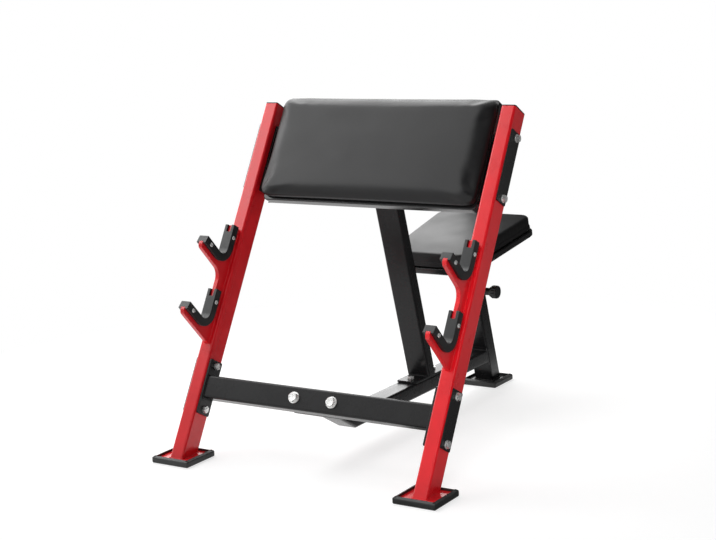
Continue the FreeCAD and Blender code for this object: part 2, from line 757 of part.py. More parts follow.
stub = tube("SpineStub", "XY_Plane", size.tube_wide, size.tube_narrow, size.base_length)
stub.Placement = stub_start
run = tube("SpineRun", "XY_Plane", size.tube_wide, size.tube_narrow, size.base_length, middle=True)
drill(run, "XZ_Plane", run_mid_bolts, bolt_hole)
run.Placement = spot(0, 0, size.spine_level, Z_TO_BACK)
spine_front = trimmed("SpineFront", stub, mitre, mitre_normal)
spine_rear = trimmed("SpineRear", run, mitre, -mitre_normal)
spine_rear = trimmed("SpineSquared", spine_rear, spine_end, -sleeve_forward)
keep(fuse("Spine", [spine_front, spine_rear]), "spine")


def cross_plate(name, hole_width):
    return plate(name, size.cross_plate_width, size.tube_wide, size.flange,
                 holes=cross_holes, hole_width=hole_width)


keep(cross_plate("SpineFrontFlange", spine_hole), "spine_front_flange",
     front * spot(0, half_narrow, size.low_beam, Z_TO_BACK))

spine_bolt_length = size.tube_narrow + size.washer + size.flange + size.nut_height + size.nut_proud
front_bolts, front_washers, front_nuts = [], [], []
for side_name, sign in SIDES:
    x = size.cross_bolt_spread / 2 * sign
    face = front * spot(x, -half_narrow, size.low_beam, Z_TO_FRONT)
    front_washers.append(washer("SpineWasher" + side_name, size.spine_washer_width, spine_hole, face))
    head = front * spot(x, -half_narrow - size.washer, size.low_beam, Z_TO_FRONT)
    front_bolts.append(bolt("SpineBolt" + side_name, size.spine_bolt, size.spine_bolt_flats, size.nut_height,
                            spine_bolt_length, head))
    back = front * spot(x, half_narrow + size.flange, size.low_beam, Z_TO_BACK)
    front_nuts.append(nut("SpineNut" + side_name, spine_hole, size.spine_bolt_flats, size.nut_height, back))
keep(group("SpineFrontBolts", front_bolts), "spine_front_bolts")
keep(group("SpineFrontWashers", front_washers), "spine_front_washers")
keep(group("SpineFrontNuts", front_nuts), "spine_front_nuts")

# Mid post from the spine up to the arm pad's back plate

mid_foot = Vector(0, float(mid_place), float(mid_top))
mid_head = front.multVec(Vector(0, float(back_face + size.flange), float(size.high_plate)))
mid_lean = degrees(atan2(mid_foot.y - mid_head.y, mid_head.z - mid_foot.z))
mid_tube = tube("MidPostTube", "XY_Plane", size.mid_wide, size.mid_deep, size.post_length * 2, middle=True)
mid_tube.Placement = leaning(mid_foot.y, mid_foot.z, mid_lean)
mid_square = trimmed("MidPostFooted", mid_tube, mid_foot, Vector(0, 0, -1))
beam_forward = front.Rotation.multVec(Vector(0, -1, 0))
keep(trimmed("MidPost", mid_square, mid_head, beam_forward), "mid_post")
mid_holes = [(NOTHING, size.mid_bolt_spread * half) for half in (-0.5, 0.5)]
mid_plate = plate("MidFootPlate", size.tube_wide, size.mid_plate_length, size.base_plate,
                  holes=mid_holes, hole_width=bolt_hole)
keep(mid_plate, "mid_foot_plate", spot(0, mid_place, spine_top))
keep(cross_plate("MidHeadPlate", bolt_hole), "mid_head_plate",
     front * spot(0, back_face, size.high_plate, Z_TO_BACK))

short_bolt = size.base_plate + size.tube_wall + size.nut_height + size.nut_proud
plate_bolts, plate_nuts = [], []
for side_name, sign in SIDES:
    along = mid_place + size.mid_bolt_spread / 2 * sign
    x = size.cross_bolt_spread / 2 * sign
    for name, head, inside in (
        ("MidFoot" + side_name, spot(0, along, mid_top), spot(0, along, spine_top - size.tube_wall, Z_DOWN)),
        ("MidHead" + side_name, front * spot(x, back_face + size.flange, size.high_plate, Z_TO_BACK),
         front * spot(x, pad_face, size.high_plate, Z_TO_FRONT)),
    ):
        plate_bolts.append(frame_bolt(name + "Bolt", short_bolt, head))
        plate_nuts.append(frame_nut(name + "Nut", inside))
keep(group("PlateBolts", plate_bolts), "plate_bolts")
keep(group("PlateNuts", plate_nuts), "plate_nuts")

# Seat sleeve on the rear foot, with the spine's rear flange and its bolts

sleeve_lean = radians(float(size.seat_lean))
rear_flange_up = (float(size.spine_level) - float(plate_top)) / cos(sleeve_lean)
rear_flange_up += float(flange_front) * tan(sleeve_lean)
rear_holes = [(size.rear_bolt_spread * half, NOTHING) for half in (-0.5, 0.5)]
rear_flange = plate("SpineRearFlange", size.tube_wide, size.rear_flange_length, size.flange,
                    holes=rear_holes, hole_width=bolt_hole)
keep(rear_flange, "spine_rear_flange", rear * spot(0, -flange_front, rear_flange_up, Z_TO_BACK))

spare = size.sleeve_wide
sleeve = tube("SleeveTube", "XY_Plane", size.sleeve_wide, size.sleeve_deep, size.sleeve_length + spare)
sleeve.Placement = rear * spot(0, 0, -spare)
sleeve_level = trimmed("SleeveLevel", sleeve, Vector(0, 0, float(plate_top)), Vector(0, 0, -1))
pin_axis = rear * spot(0, 0, size.pin_place, Z_TO_RIGHT)
bores = [cylinder("SleevePinBore", size.pin + size.bolt_clear, half_sleeve, pin_axis)]
rear_bolts, rear_nuts = [], []
rear_bolt_length = size.sleeve_deep + size.flange + size.nut_height + size.nut_proud
for side_name, sign in SIDES:
    x = size.rear_bolt_spread / 2 * sign
    behind = rear * spot(x, sleeve_front, rear_flange_up, Z_TO_BACK)
    inside = rear * spot(x, -flange_front, rear_flange_up, Z_TO_FRONT)
    bores.append(cylinder("SleeveBore" + side_name, bolt_hole, size.sleeve_deep,
                          rear * spot(x, -sleeve_front, rear_flange_up, Z_TO_BACK)))
    rear_bolts.append(frame_bolt("RearBolt" + side_name, rear_bolt_length, behind))
    rear_nuts.append(frame_nut("RearNut" + side_name, inside))
keep(cut("Sleeve", sleeve_level, fuse("SleeveBores", bores)), "seat_sleeve")
keep(group("SpineRearBolts", rear_bolts), "spine_rear_bolts")
keep(group("SpineRearNuts", rear_nuts), "spine_rear_nuts")

# Sliding bush in the sleeve's mouth

room_wide = size.sleeve_wide - size.tube_wall * 2
room_deep = size.sleeve_deep - size.tube_wall * 2
seat_tube_wide = room_wide - size.bush_wall * 2
seat_tube_deep = room_deep - size.bush_wall * 2
bush_bore = (seat_tube_wide + size.slide_gap * 2, seat_tube_deep + size.slide_gap * 2)
bush = new_body("Bush")
bush_skirt = new_sketch(bush, "XY_Plane", "BushSkirt")
rounded_rectangle(bush_skirt, room_wide, room_deep, size.tube_corner - size.tube_wall)
rounded_rectangle(bush_skirt, *bush_bore, size.seat_tube_corner + size.slide_gap)
pad(bush, bush_skirt, size.bush_depth, down=True)
bush_rim = new_sketch(bush, "XY_Plane", "BushRim")
rounded_rectangle(bush_rim, size.sleeve_wide, size.sleeve_deep, size.tube_corner)
rounded_rectangle(bush_rim, *bush_bore, size.seat_tube_corner + size.slide_gap)
pad(bush, bush_rim, size.bush_collar)
keep(bush, "sleeve_bush", rear * spot(0, 0, size.sleeve_length))

# Seat tube, plate, board and screws

pin_travel = size.pin_spacing * (size.pin_count - 1)
tail = pin_travel + size.seat_tube_tail
pin_heights = [tail - size.pin_spacing * step for step in range(int(float(size.pin_count)))]
seat_tube = tube("SeatTubeLong", "XY_Plane", seat_tube_wide, seat_tube_deep, size.post_length,
                 corner=size.seat_tube_corner, wall=size.seat_tube_wall)
drill(seat_tube, "YZ_Plane", [(NOTHING, height) for height in pin_heights], size.pin + size.bolt_clear)
seat_tube.Placement = rear * spot(0, 0, size.pin_place - tail)
seat_up = seat.Rotation.multVec(Vector(0, 0, 1))
keep(trimmed("SeatTube", seat_tube, seat.Base, seat_up), "seat_tube")
bore = size.seat_tube_wall * 2 + size.plug_fit * 2
seat_plug = plate("SeatTubePlug", seat_tube_wide - bore, seat_tube_deep - bore, size.plug_depth,
                  corner=size.seat_tube_corner - size.seat_tube_wall)
keep(seat_plug, "seat_tube_plug", rear * spot(0, 0, size.pin_place - tail))

screw_x = size.seat_plate_width / 2 - size.seat_screw_distance
screw_y = size.seat_plate_length / 2 - size.seat_screw_distance
seat_holes = [(screw_x * across, screw_y * along) for across in (-1, 1) for along in (-1, 1)]
seat_plate = plate("SeatPlate", size.seat_plate_width, size.seat_plate_length, size.base_plate,
                   holes=seat_holes, hole_width=screw_hole)
keep(seat_plate, "seat_plate", seat * spot(0, -size.seat_forward, 0))
board_rear = size.seat_width / 2 + size.seat_board_lip
board_front = board_rear - size.seat_narrowing
board_end = size.seat_length / 2 + size.seat_board_lip
board_corners = [(board_front, -board_end), (board_rear, board_end)]
board_corners += [(-x, y) for x, y in reversed(board_corners)]
seat_board = new_body("SeatBoard")
board_sketch = new_sketch(seat_board, "XY_Plane", "SeatBoardOutline")
polygon(board_sketch, board_corners)
pad(seat_board, board_sketch, size.seat_board)
round_edges(seat_board, board_corners, size.seat_corner + size.seat_board_lip, plane="xy")
drill(seat_board, "XY_Plane", seat_holes, screw_hole)
keep(seat_board, "seat_board", seat * spot(0, -size.seat_forward, size.base_plate))
seat_screws = []
for number, (x, y) in enumerate(seat_holes):
    name = f"SeatScrew{number}"
    head = cylinder(name + "Head", size.screw_head_width, size.screw_head, spot(0, 0, -size.screw_head))
    shank = cylinder(name + "Shank", size.screw, size.base_plate + size.seat_screw_bite)
    screw = fuse(name, [head, shank])
    screw.Placement = seat * spot(x, y - size.seat_forward, 0)
    seat_screws.append(screw)
keep(group("SeatScrews", seat_screws), "seat_screws")

# Arm pad board, with wells for the mid post's nuts, and its bolts through the back plate

arm_holes = [(x, -size.arm_pad_rise) for x, _ in pad_holes]
arm_board_length = size.arm_pad_length + size.arm_board_lip * 2
arm_board = plate("ArmBoard", size.arm_board_width, arm_board_length, size.arm_board,
                  corner=size.arm_pad_corner + size.arm_board_lip, holes=arm_holes, hole_width=pad_hole)
drill(arm_board, "XY_Plane", [(x, -size.arm_pad_rise) for x, _ in cross_holes], size.nut_room)
arm_height = size.high_plate + size.arm_pad_rise
keep(arm_board, "arm_board", front * spot(0, pad_face, arm_height, Z_TO_FRONT))
arm_bolts = []
for number, (x, _) in enumerate(pad_holes):
    place = front * spot(x, back_face, size.high_plate, Z_TO_BACK)
    arm_bolts.append(bolt(f"ArmBolt{number}", size.pad_bolt, size.pad_bolt_flats, size.bolt_head,
                          size.flange + size.pad_bolt_bite, place))
keep(group("ArmPadBolts", arm_bolts), "arm_pad_bolts")


# Cushions

SHOULDER_TURNS = (0, 20, 40, 60, 80)


def cushion_section(across, along, narrowing, corner, inset, end_inset, height):
    """Outline with rounded corners at a height over the board, narrower at its front."""
    y = along / 2 - inset
    rear = across / 2 - end_inset - inset * narrowing / along
    front = rear - narrowing * 2 * y / along
    corners = [Vector(front, -y, height), Vector(rear, y, height)]
    corners += [Vector(-rear, y, height), Vector(-front, -y, height)]
    arcs = []
    for index, tip in enumerate(corners):
        before = (corners[index - 1] - tip).normalize()
        after = (corners[(index + 1) % 4] - tip).normalize()
        half = before.getAngle(after) / 2
        inward = (before + after).normalize()
        nearest = tip + inward * (corner / sin(half) - corner)
        arcs.append((tip + before * (corner / tan(half)), nearest, tip + after * (corner / tan(half))))
    edges = []
    for index, arc in enumerate(arcs):
        edges.append(Part.Arc(*arc).toShape())
        edges.append(Part.LineSegment(arc[2], arcs[(index + 1) % 4][0]).toShape())
    return Part.Wire(edges)


def cushion(name, across, along, narrowing, corner, height, side, shoulder, end_shoulder):
    """Sides drawn in at the board, a rounded shoulder and a slightly crowned face."""
    rise = float(height - size.face_drop - side)
    draw = float(size.side_draw)
    rings = [(draw, draw, 0), (0, 0, float(size.side_belly))]
    for turn in SHOULDER_TURNS:
        share = 1 - cos(radians(turn))
        rings.append((shoulder * share, end_shoulder * share, float(side) + rise * sin(radians(turn))))
    crown = float(size.crown_edge_distance)
    rings.append((crown, crown, float(height)))
    sections = []
    outline = [float(value) for value in (across, along, narrowing, corner)]
    for ring in rings:
        sections.append(cushion_section(*outline, *ring))
    item = doc.addObject("Part::Feature", name)
    item.Shape = Part.makeLoft(sections, True, True)
    return item


arm_cushion = cushion("ArmCushion", size.arm_pad_width, size.arm_pad_length, NOTHING,
                      size.arm_pad_corner, size.arm_pad_height, size.arm_pad_side,
                      float(size.arm_pad_shoulder), float(size.arm_pad_end))
keep(arm_cushion, "arm_cushion", front * spot(0, pad_face - size.arm_board, arm_height, Z_TO_FRONT))
seat_cushion = cushion("SeatCushion", size.seat_width, size.seat_length, size.seat_narrowing,
                       size.seat_corner, size.seat_height, size.seat_side,
                       float(size.seat_shoulder), float(size.seat_shoulder))
keep(seat_cushion, "seat_cushion", seat * spot(0, -size.seat_forward, size.base_plate + size.seat_board))

# Pull pin on the sleeve's right side: Z of its frame runs out along the pin, from the sleeve's face

pin_frame = rear * spot(half_sleeve, 0, size.pin_place, Z_TO_RIGHT)
pin_bore = size.pin + size.pin_gap * 2
rod_bore = size.rod + size.pin_gap * 2
room_end = size.barrel_length - size.barrel_cap
collar_low = size.barrel_wall + size.collar_gap + size.pin_throw
collar_high = collar_low + size.pin_collar

barrel = cut("Barrel", cylinder("BarrelBlank", size.barrel_width, size.barrel_length), fuse("BarrelBores", [
    cylinder("BarrelNoseBore", pin_bore, size.barrel_wall),
    cylinder("BarrelRoom", size.spring_room, room_end - size.barrel_wall, spot(0, 0, size.barrel_wall)),
    cylinder("BarrelRodBore", rod_bore, size.barrel_cap, spot(0, 0, room_end)),
]))
keep(barrel, "pin_barrel", pin_frame)

knob_low = size.barrel_length - size.knob_lap
knob_bore = size.knob_lap + size.pin_throw + size.collar_gap
knob_length = knob_bore + size.knob_cap
rod_end = knob_low + knob_bore + size.rod_grip
spring_width = size.spring_room - size.spring_gap * 2
plunger = fuse("Plunger", [
    cylinder("PlungerNose", size.pin, collar_low + size.pin_nose, spot(0, 0, -size.pin_nose)),
    cylinder("PlungerCollar", spring_width, size.pin_collar, spot(0, 0, collar_low)),
    cylinder("PlungerRod", size.rod, rod_end - collar_high, spot(0, 0, collar_high)),
])
keep(plunger, "pin_plunger", pin_frame)

spring_length = room_end - collar_high - size.spring_gap
spring = cut("Spring", cylinder("SpringBlank", spring_width, spring_length),
             cylinder("SpringBore", size.rod + size.spring_gap * 2, spring_length))
keep(spring, "pin_spring", pin_frame * spot(0, 0, collar_high + size.spring_gap))

knob_body = new_body("KnobBlank")
knob_outline = new_sketch(knob_body, "XY_Plane", "KnobOutline")
circles(knob_outline, [(NOTHING, NOTHING)], size.knob_width)
pad(knob_body, knob_outline, knob_length)
rim = max(knob_body.Tip.Shape.Faces, key=lambda face: face.CenterOfMass.z)
rim_names = [f"Edge{number}" for number, edge in enumerate(knob_body.Tip.Shape.Edges, start=1)
             if edge.isSame(rim.Edges[0])]
knob_round = knob_body.newObject("PartDesign::Fillet", "KnobRound")
knob_round.Base = (knob_body.getObject("KnobBlankPad"), rim_names)
knob_round.setExpression("Radius", size.knob_round.text)
doc.recompute()
knob_rod_grip = cylinder("KnobGrip", size.rod, size.rod_grip, spot(0, 0, knob_bore))
knob_room = cylinder("KnobRoom", size.barrel_width + size.knob_gap * 2, knob_bore)
keep(cut("Knob", knob_body, fuse("KnobBores", [knob_room, knob_rod_grip])), "pin_knob",
     pin_frame * spot(0, 0, knob_low))

doc.recompute()
for item in doc.Objects:
    if "Invalid" in item.State or "Error" in item.State:
        raise ValueError(item.Label + " failed: " + str(item.State))
for item in parts:
    if item.Shape.isNull() or not item.Shape.isValid():
        raise ValueError(item.Label + " has no valid shape")

os.makedirs("parts", exist_ok=True)
for item in parts:
    item.Shape.exportStep(f"parts/{item.Label}.step")
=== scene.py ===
import json
from math import cos, hypot, pi, radians, sin, sqrt, tan

import bpy
from mathutils import Matrix, Vector


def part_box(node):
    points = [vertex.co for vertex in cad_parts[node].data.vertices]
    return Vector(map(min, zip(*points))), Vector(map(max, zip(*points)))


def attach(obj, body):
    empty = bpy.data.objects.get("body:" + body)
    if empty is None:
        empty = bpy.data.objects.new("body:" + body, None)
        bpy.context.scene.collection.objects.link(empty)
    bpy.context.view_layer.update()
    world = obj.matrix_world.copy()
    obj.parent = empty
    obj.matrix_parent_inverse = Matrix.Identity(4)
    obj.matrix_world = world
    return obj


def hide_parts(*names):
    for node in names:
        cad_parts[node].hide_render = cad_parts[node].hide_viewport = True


bl_info = {
    "name": "Preacher Curl Bench",
    "version": (1, 0, 0),
    "blender": (4, 5, 0),
    "location": "3D View > Sidebar > Curl Bench",
    "description": "Dresses a preacher curl bench: coated steel, vinyl pads, liners, bolts and studio",
    "category": "Object",
}

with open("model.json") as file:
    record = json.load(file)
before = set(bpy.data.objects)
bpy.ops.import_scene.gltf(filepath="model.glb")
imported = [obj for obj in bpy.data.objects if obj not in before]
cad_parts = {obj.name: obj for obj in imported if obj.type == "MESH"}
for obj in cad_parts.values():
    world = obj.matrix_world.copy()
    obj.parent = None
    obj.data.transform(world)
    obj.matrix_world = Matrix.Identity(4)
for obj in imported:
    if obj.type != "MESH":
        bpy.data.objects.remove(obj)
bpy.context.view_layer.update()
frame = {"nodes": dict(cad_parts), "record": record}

# Leaning directions of the front posts: up along them, and through them to the back.
POST_LEAN = radians(30)
POST_UP = Vector((0, sin(POST_LEAN), cos(POST_LEAN)))
POST_BACK = Vector((0, cos(POST_LEAN), -sin(POST_LEAN)))

# Where the posts' middle line meets the floor.
POST_FOOT = -0.502

# Directions of the tilted seat: out of its top, and along it to the back.
SEAT_TILT = radians(9.7)
SEAT_UP = Vector((0, -sin(SEAT_TILT), cos(SEAT_TILT)))
SEAT_BACK = Vector((0, cos(SEAT_TILT), sin(SEAT_TILT)))
SLEEVE_LEAN = radians(16.5)
SIDES = (("left", -1), ("right", 1))


# Settings

def length(name, about, metres):
    return bpy.props.FloatProperty(name=name, description=about, default=metres, unit="LENGTH")


def colour(name, about, value):
    return bpy.props.FloatVectorProperty(name=name, description=about, subtype="COLOR", default=value)


def power(name, about, watts):
    return bpy.props.FloatProperty(name=name, description=about, default=watts, subtype="POWER")


def angle(name, about, degrees):
    return bpy.props.FloatProperty(name=name, description=about, default=radians(degrees), subtype="ANGLE")


class BenchSizes(bpy.types.PropertyGroup):
    """Sizes of the details that the bench's plain solids leave out."""

    steel_edge: length("Steel edge", "Rounding of cut steel edges", 0.0009)
    liner_edge: length("Liner edge", "Rounding of the moulded hook liners", 0.0010)
    cap_edge: length("Cap edge", "Rounding of the plastic caps", 0.0011)
    small_edge: length("Fastener edge", "Rounding of washers and nuts", 0.0004)
    board_edge: length("Board edge", "Rounding of the covered boards", 0.0026)
    weld_leg: length("Weld leg", "Width of a fillet weld on one plate", 0.0025)
    foot_rim: length("Foot rim", "Width of a rubber foot's rim", 0.007)
    foot_floor: length("Foot floor", "Rubber under a base plate", 0.005)
    foot_corner: length("Foot corner", "Corner radius of a rubber foot", 0.004)
    foot_edge: length("Foot edge", "Rounding of a rubber foot's edges", 0.0008)
    hem: length("Hem", "Vinyl folded over a board's back", 0.026)
    staple: length("Staple", "Length of a hem staple", 0.011)
    arm_pad_corner: length("Arm pad corner", "Corner radius of the arm pad's cushion", 0.030)
    seat_corner: length("Seat corner", "Corner radius of the seat's board", 0.0345)
    seat_rear_half: length("Seat rear half", "Half width of the seat's board at its rear", 0.1595)
    seat_front_half: length("Seat front half", "Half width of the seat's board at its front", 0.1325)
    post_bolt_flats: length("Post bolt flats", "Across flats of the post bolts", 0.017)
    spine_bolt_flats: length("Spine bolt flats", "Across flats of the spine's front bolts", 0.022)
    screw_head: length("Screw head", "Diameter of the liner screw heads", 0.011)
    pad_voxel: length("Pad voxel", "Grain of the cushions' cloth", 0.005)
    pad_swell: length("Pad swell", "Furthest that a cushion's cloth swells", 0.005)
    seam_depth: length("Seam depth", "Depth of the seams round the cushions", 0.0022)
    flutes: bpy.props.IntProperty(name="Flutes", description="Finger flutes round the pull knob", default=12)


class BenchColours(bpy.types.PropertyGroup):
    """Colours of the bench's finishes and of its studio."""

    red_coat: colour("Red coat", "Gloss powder coat of the posts", (0.74, 0.008, 0.015))
    black_coat: colour("Black coat", "Satin powder coat of the frame", (0.007, 0.007, 0.0075))
    vinyl: colour("Vinyl", "Cover of the pads", (0.0085, 0.0085, 0.009))
    rubber: colour("Rubber", "Feet", (0.014, 0.015, 0.015))
    liner: colour("Liner plastic", "Hook liners", (0.010, 0.011, 0.0115))
    plastic: colour("Cap plastic", "Caps, bush and knob", (0.010, 0.011, 0.012))
    plating: colour("Plating", "Zinc plated fasteners", (0.80, 0.80, 0.79))
    floor: colour("Floor", "Studio floor", (0.90, 0.90, 0.90))
    card: colour("Dark card", "Cards that darken reflections on the right", (0.02, 0.02, 0.02))


class BenchStudio(bpy.types.PropertyGroup):
    """Camera and light of the studio."""

    focal_length: bpy.props.FloatProperty(
        name="Focal length", description="Lens on a 36 mm wide sensor, in millimetres", default=77.06)
    azimuth: angle("Azimuth", "Camera round the bench from its front", 32.82)
    dip: angle("Dip", "Camera's look below the horizon", 10.76)
    roll: angle("Roll", "Camera's turn about its line of sight", -2.39)
    place: bpy.props.FloatVectorProperty(
        name="Camera place", description="Where the camera stands", subtype="TRANSLATION",
        default=(2.0972, -3.4409, 1.2019))
    key_power: power("Key light", "Power of the soft light in front on the left", 24.0)
    fill_power: power("Fill light", "Power of the soft light in front on the right", 2.2)
    side_power: power("Side light", "Power of the soft light on the left", 30.0)
    back_power: power("Back light", "Power of the soft light behind on the left", 140.0)
    top_power: power("Top light", "Power of the soft light over the back", 34.0)
    sky: bpy.props.FloatProperty(
        name="Room light", description="Strength of the room's even light", default=0.26)


def sizes():
    return bpy.context.scene.curl_bench_sizes


def colours():
    return bpy.context.scene.curl_bench_colours


# Finishes

class Signal:
    """A value on a node's output that takes part in Python arithmetic."""

    def __init__(self, finish, socket):
        self.finish = finish
        self.socket = socket

    def _math(self, operation, first, second):
        return self.finish.node("ShaderNodeMath", {"operation": operation}, {0: first, 1: second})

    def __add__(self, other):
        return self._math("ADD", self, other)

    def __sub__(self, other):
        return self._math("SUBTRACT", self, other)

    def __mul__(self, other):
        return self._math("MULTIPLY", self, other)


class Finish:
    """A material under construction."""

    def __init__(self, name):
        self.material = bpy.data.materials.new(name)
        self.open(self.material, "Principled BSDF", "Material Output")

    def open(self, owner, shader, output):
        owner.use_nodes = True
        self.tree = owner.node_tree
        self.shader = self.tree.nodes[shader]
        self.output = self.tree.nodes[output]

    def node(self, kind, settings=None, inputs=None, out=0):
        made = self.tree.nodes.new(kind)
        for name, value in (settings or {}).items():
            setattr(made, name, value)
        for key, value in (inputs or {}).items():
            self.feed(made.inputs[key], value)
        return Signal(self, made.outputs[out])

    def feed(self, socket, value):
        if isinstance(value, Signal):
            self.tree.links.new(value.socket, socket)
        elif socket.type == "RGBA" and len(value) == 3:
            socket.default_value = (*value, 1)
        else:
            socket.default_value = value

    def set(self, **values):
        for name, value in values.items():
            self.feed(self.shader.inputs[name.replace("_", " ").title().replace("Ior", "IOR")], value)
        return self

    def seen_as(self, shader):
        """Shows another shader to the rays of the camera, of reflections and of clear materials."""
        rays = [self.node("ShaderNodeLightPath", out=f"Is {ray} Ray")
                for ray in ("Camera", "Glossy", "Transmission")]
        own = Signal(self, self.shader.outputs[0])
        seen = rays[0] + rays[1] + rays[2]
        both = self.node("ShaderNodeMixShader", inputs={0: seen, 1: own, 2: shader})
        self.feed(self.output.inputs["Surface"], both)

    def place(self, stretch=(1, 1, 1)):
        spot = self.node("ShaderNodeTexCoord", out="Object")
        return self.node("ShaderNodeMapping", inputs={"Vector": spot, "Scale": stretch})

    def noise(self, scale, detail=2, roughness=0.5, at=None):
        return self.node("ShaderNodeTexNoise", inputs={
            "Vector": at or self.place(), "Scale": scale, "Detail": detail, "Roughness": roughness})

    def cells(self, scale, feature="F1", at=None):
        return self.node("ShaderNodeTexVoronoi", {"feature": feature},
                         {"Vector": at or self.place(), "Scale": scale})

    def between(self, low, high, value):
        return self.node("ShaderNodeMapRange", inputs={
            "Value": value, "From Min": 0.3, "From Max": 0.7, "To Min": low, "To Max": high})

    def tint(self, first, second, mask):
        blend = {0: mask, 6: (*first, 1), 7: (*second, 1)}
        return self.node("ShaderNodeMix", {"data_type": "RGBA"}, blend, out=2)

    def mottled(self, colour, darkest, lightest, mask):
        """One colour between a darker and a lighter share of itself."""
        return self.tint(scaled(colour, darkest), scaled(colour, lightest), self.between(0, 1, mask))

    def bump(self, height, distance, strength):
        return self.node("ShaderNodeBump", inputs={
            "Height": height, "Distance": distance, "Strength": strength})


class RoomLight(Finish):
    """The scene's world under construction."""

    def __init__(self, name):
        world = bpy.data.worlds.new(name)
        bpy.context.scene.world = world
        self.open(world, "Background", "World Output")


def scaled(colour, by):
    return tuple(part * by for part in colour)


def powder_coat(name, colour, gloss, peel):
    """Baked powder coat: even colour, faint cloudiness and orange peel."""
    coat = Finish(name)
    cloud = coat.noise(14, detail=3)
    ripple = coat.noise(520, detail=2, roughness=0.45)
    grain = coat.noise(2600, detail=1)
    tone = coat.mottled(colour, 0.90, 1.08, cloud)
    rough = coat.between(gloss * 0.88, gloss * 1.14, cloud) + (grain - 0.5) * 0.05
    coat.set(base_color=tone, roughness=rough,
             normal=coat.bump(ripple + grain * 0.25, peel, strength=0.5))
    return coat


def red_coat():
    coat = powder_coat("red_coat", tuple(colours().red_coat), 0.30, 0.00010)
    coat.set(specular_ior_level=0.38, coat_weight=0.25, coat_roughness=0.12)
    return coat.material


def black_coat():
    coat = powder_coat("black_coat", tuple(colours().black_coat), 0.27, 0.00012)
    coat.set(specular_ior_level=0.30)
    return coat.material


def vinyl_cover(name="vinyl", smoother=0.0):
    """Soft upholstery vinyl with a fine pebble grain and broad faint random patches of tone and gloss."""
    cover = Finish(name)
    colour = tuple(colours().vinyl)
    spot = cover.place()
    warp = cover.noise(240, detail=2, at=spot)
    pebble = cover.cells(1050, feature="SMOOTH_F1", at=spot)
    fine = cover.noise(3200, detail=2, at=spot)
    broad = cover.noise(9, detail=2, at=spot)
    grain = pebble * 0.8 + warp * 0.5 + fine * 0.2
    tone = cover.mottled(colour, 0.86, 1.16, broad * 0.6 + warp * 0.4)
    rough = cover.between(0.36, 0.45, broad) + (pebble - 0.4) * 0.10 - smoother
    cover.set(base_color=tone, roughness=rough, specular_ior_level=0.32 + smoother, sheen_weight=0.02,
              sheen_roughness=0.4, normal=cover.bump(grain, 0.00009, strength=0.55 - smoother * 2))
    return cover.material


def taut_vinyl():
    """The same vinyl pulled smooth over the boards' edges."""
    return vinyl_cover("taut_vinyl", 0.22)


def foot_rubber():
    rubber = Finish("rubber")
    colour = tuple(colours().rubber)
    cloud = rubber.noise(38, detail=4)
    grain = rubber.noise(1900, detail=2)
    tone = rubber.mottled(colour, 0.75, 1.5, cloud)
    rubber.set(base_color=tone, roughness=rubber.between(0.48, 0.62, cloud),
               normal=rubber.bump(grain, 0.00016, strength=0.5))
    return rubber.material


def moulded(name, shade, rough, texture):
    """Moulded plastic with a fine spark texture, in one of the settings' colours."""
    plastic = Finish(name)
    spark = plastic.cells(1500)
    cloud = plastic.noise(60, detail=3)
    tone = plastic.mottled(tuple(getattr(colours(), shade)), 0.82, 1.22, cloud)
    plastic.set(base_color=tone, roughness=plastic.between(rough - 0.05, rough + 0.06, cloud),
                normal=plastic.bump(spark, texture, strength=0.5))
    return plastic.material


def plated_steel():
    """Bright zinc plating with faint tool marks."""
    zinc = Finish("plated_steel")
    colour = tuple(colours().plating)
    cloud = zinc.noise(170, detail=4)
    marks = zinc.noise(900, detail=2, at=zinc.place(stretch=(0.25, 1, 1)))
    tone = zinc.mottled(colour, 0.86, 1.04, cloud)
    zinc.set(base_color=tone, metallic=0.72, roughness=zinc.between(0.20, 0.34, cloud * 0.5 + marks * 0.5),
             normal=zinc.bump(marks, 0.00005, strength=0.4))
    return zinc.material


def spring_steel():
    steel = Finish("spring_steel")
    marks = steel.noise(1400, detail=2)
    tone = steel.tint((0.34, 0.34, 0.35), (0.46, 0.46, 0.46), steel.between(0, 1, marks))
    steel.set(base_color=tone, metallic=1.0, roughness=steel.between(0.28, 0.42, marks))
    return steel.material


def plywood():
    """Bare plywood, seen only from behind and below."""
    wood = Finish("board")
    rings = wood.noise(24, detail=4, roughness=0.6, at=wood.place(stretch=(0.25, 4, 4)))
    pores = wood.noise(420, detail=2, at=wood.place(stretch=(0.12, 1, 1)))
    tone = wood.tint((0.30, 0.19, 0.10), (0.52, 0.37, 0.22), wood.between(0, 1, rings * 0.75 + pores * 0.25))
    wood.set(base_color=tone, roughness=wood.between(0.55, 0.72, pores),
             normal=wood.bump(pores, 0.0002, strength=0.5))
    return wood.material


MAKERS = {
    "red_coat": red_coat, "black_coat": black_coat, "vinyl": vinyl_cover, "taut_vinyl": taut_vinyl,
    "rubber": foot_rubber, "board": plywood, "plated_steel": plated_steel, "spring_steel": spring_steel,
    "liner_plastic": lambda: moulded("liner_plastic", "liner", 0.42, 0.00010),
    "cap_plastic": lambda: moulded("cap_plastic", "plastic", 0.46, 0.00008),
    "knob_plastic": lambda: moulded("knob_plastic", "plastic", 0.34, 0.00006),
}
FINISHES = {}


def finish(slot):
    if slot not in FINISHES:
        FINISHES[slot] = MAKERS[slot]()
    return FINISHES[slot]


SLOT_OF = {row["node"]: row["material_slot"] for row in frame["record"]["subparts"]}
BODY_OF = {node: body for body, nodes in frame["record"]["behaviour"]["bodies"].items() for node in nodes}


# Modelling

def choose(*pieces):
    nothing_chosen()
    for piece in pieces:
        piece.select_set(True)
    bpy.context.view_layer.objects.active = pieces[0]


def nothing_chosen():
    bpy.ops.object.select_all(action="DESELECT")


def editing(piece):
    choose(piece)
    bpy.ops.object.mode_set(mode="EDIT")
    bpy.ops.mesh.select_all(action="SELECT")


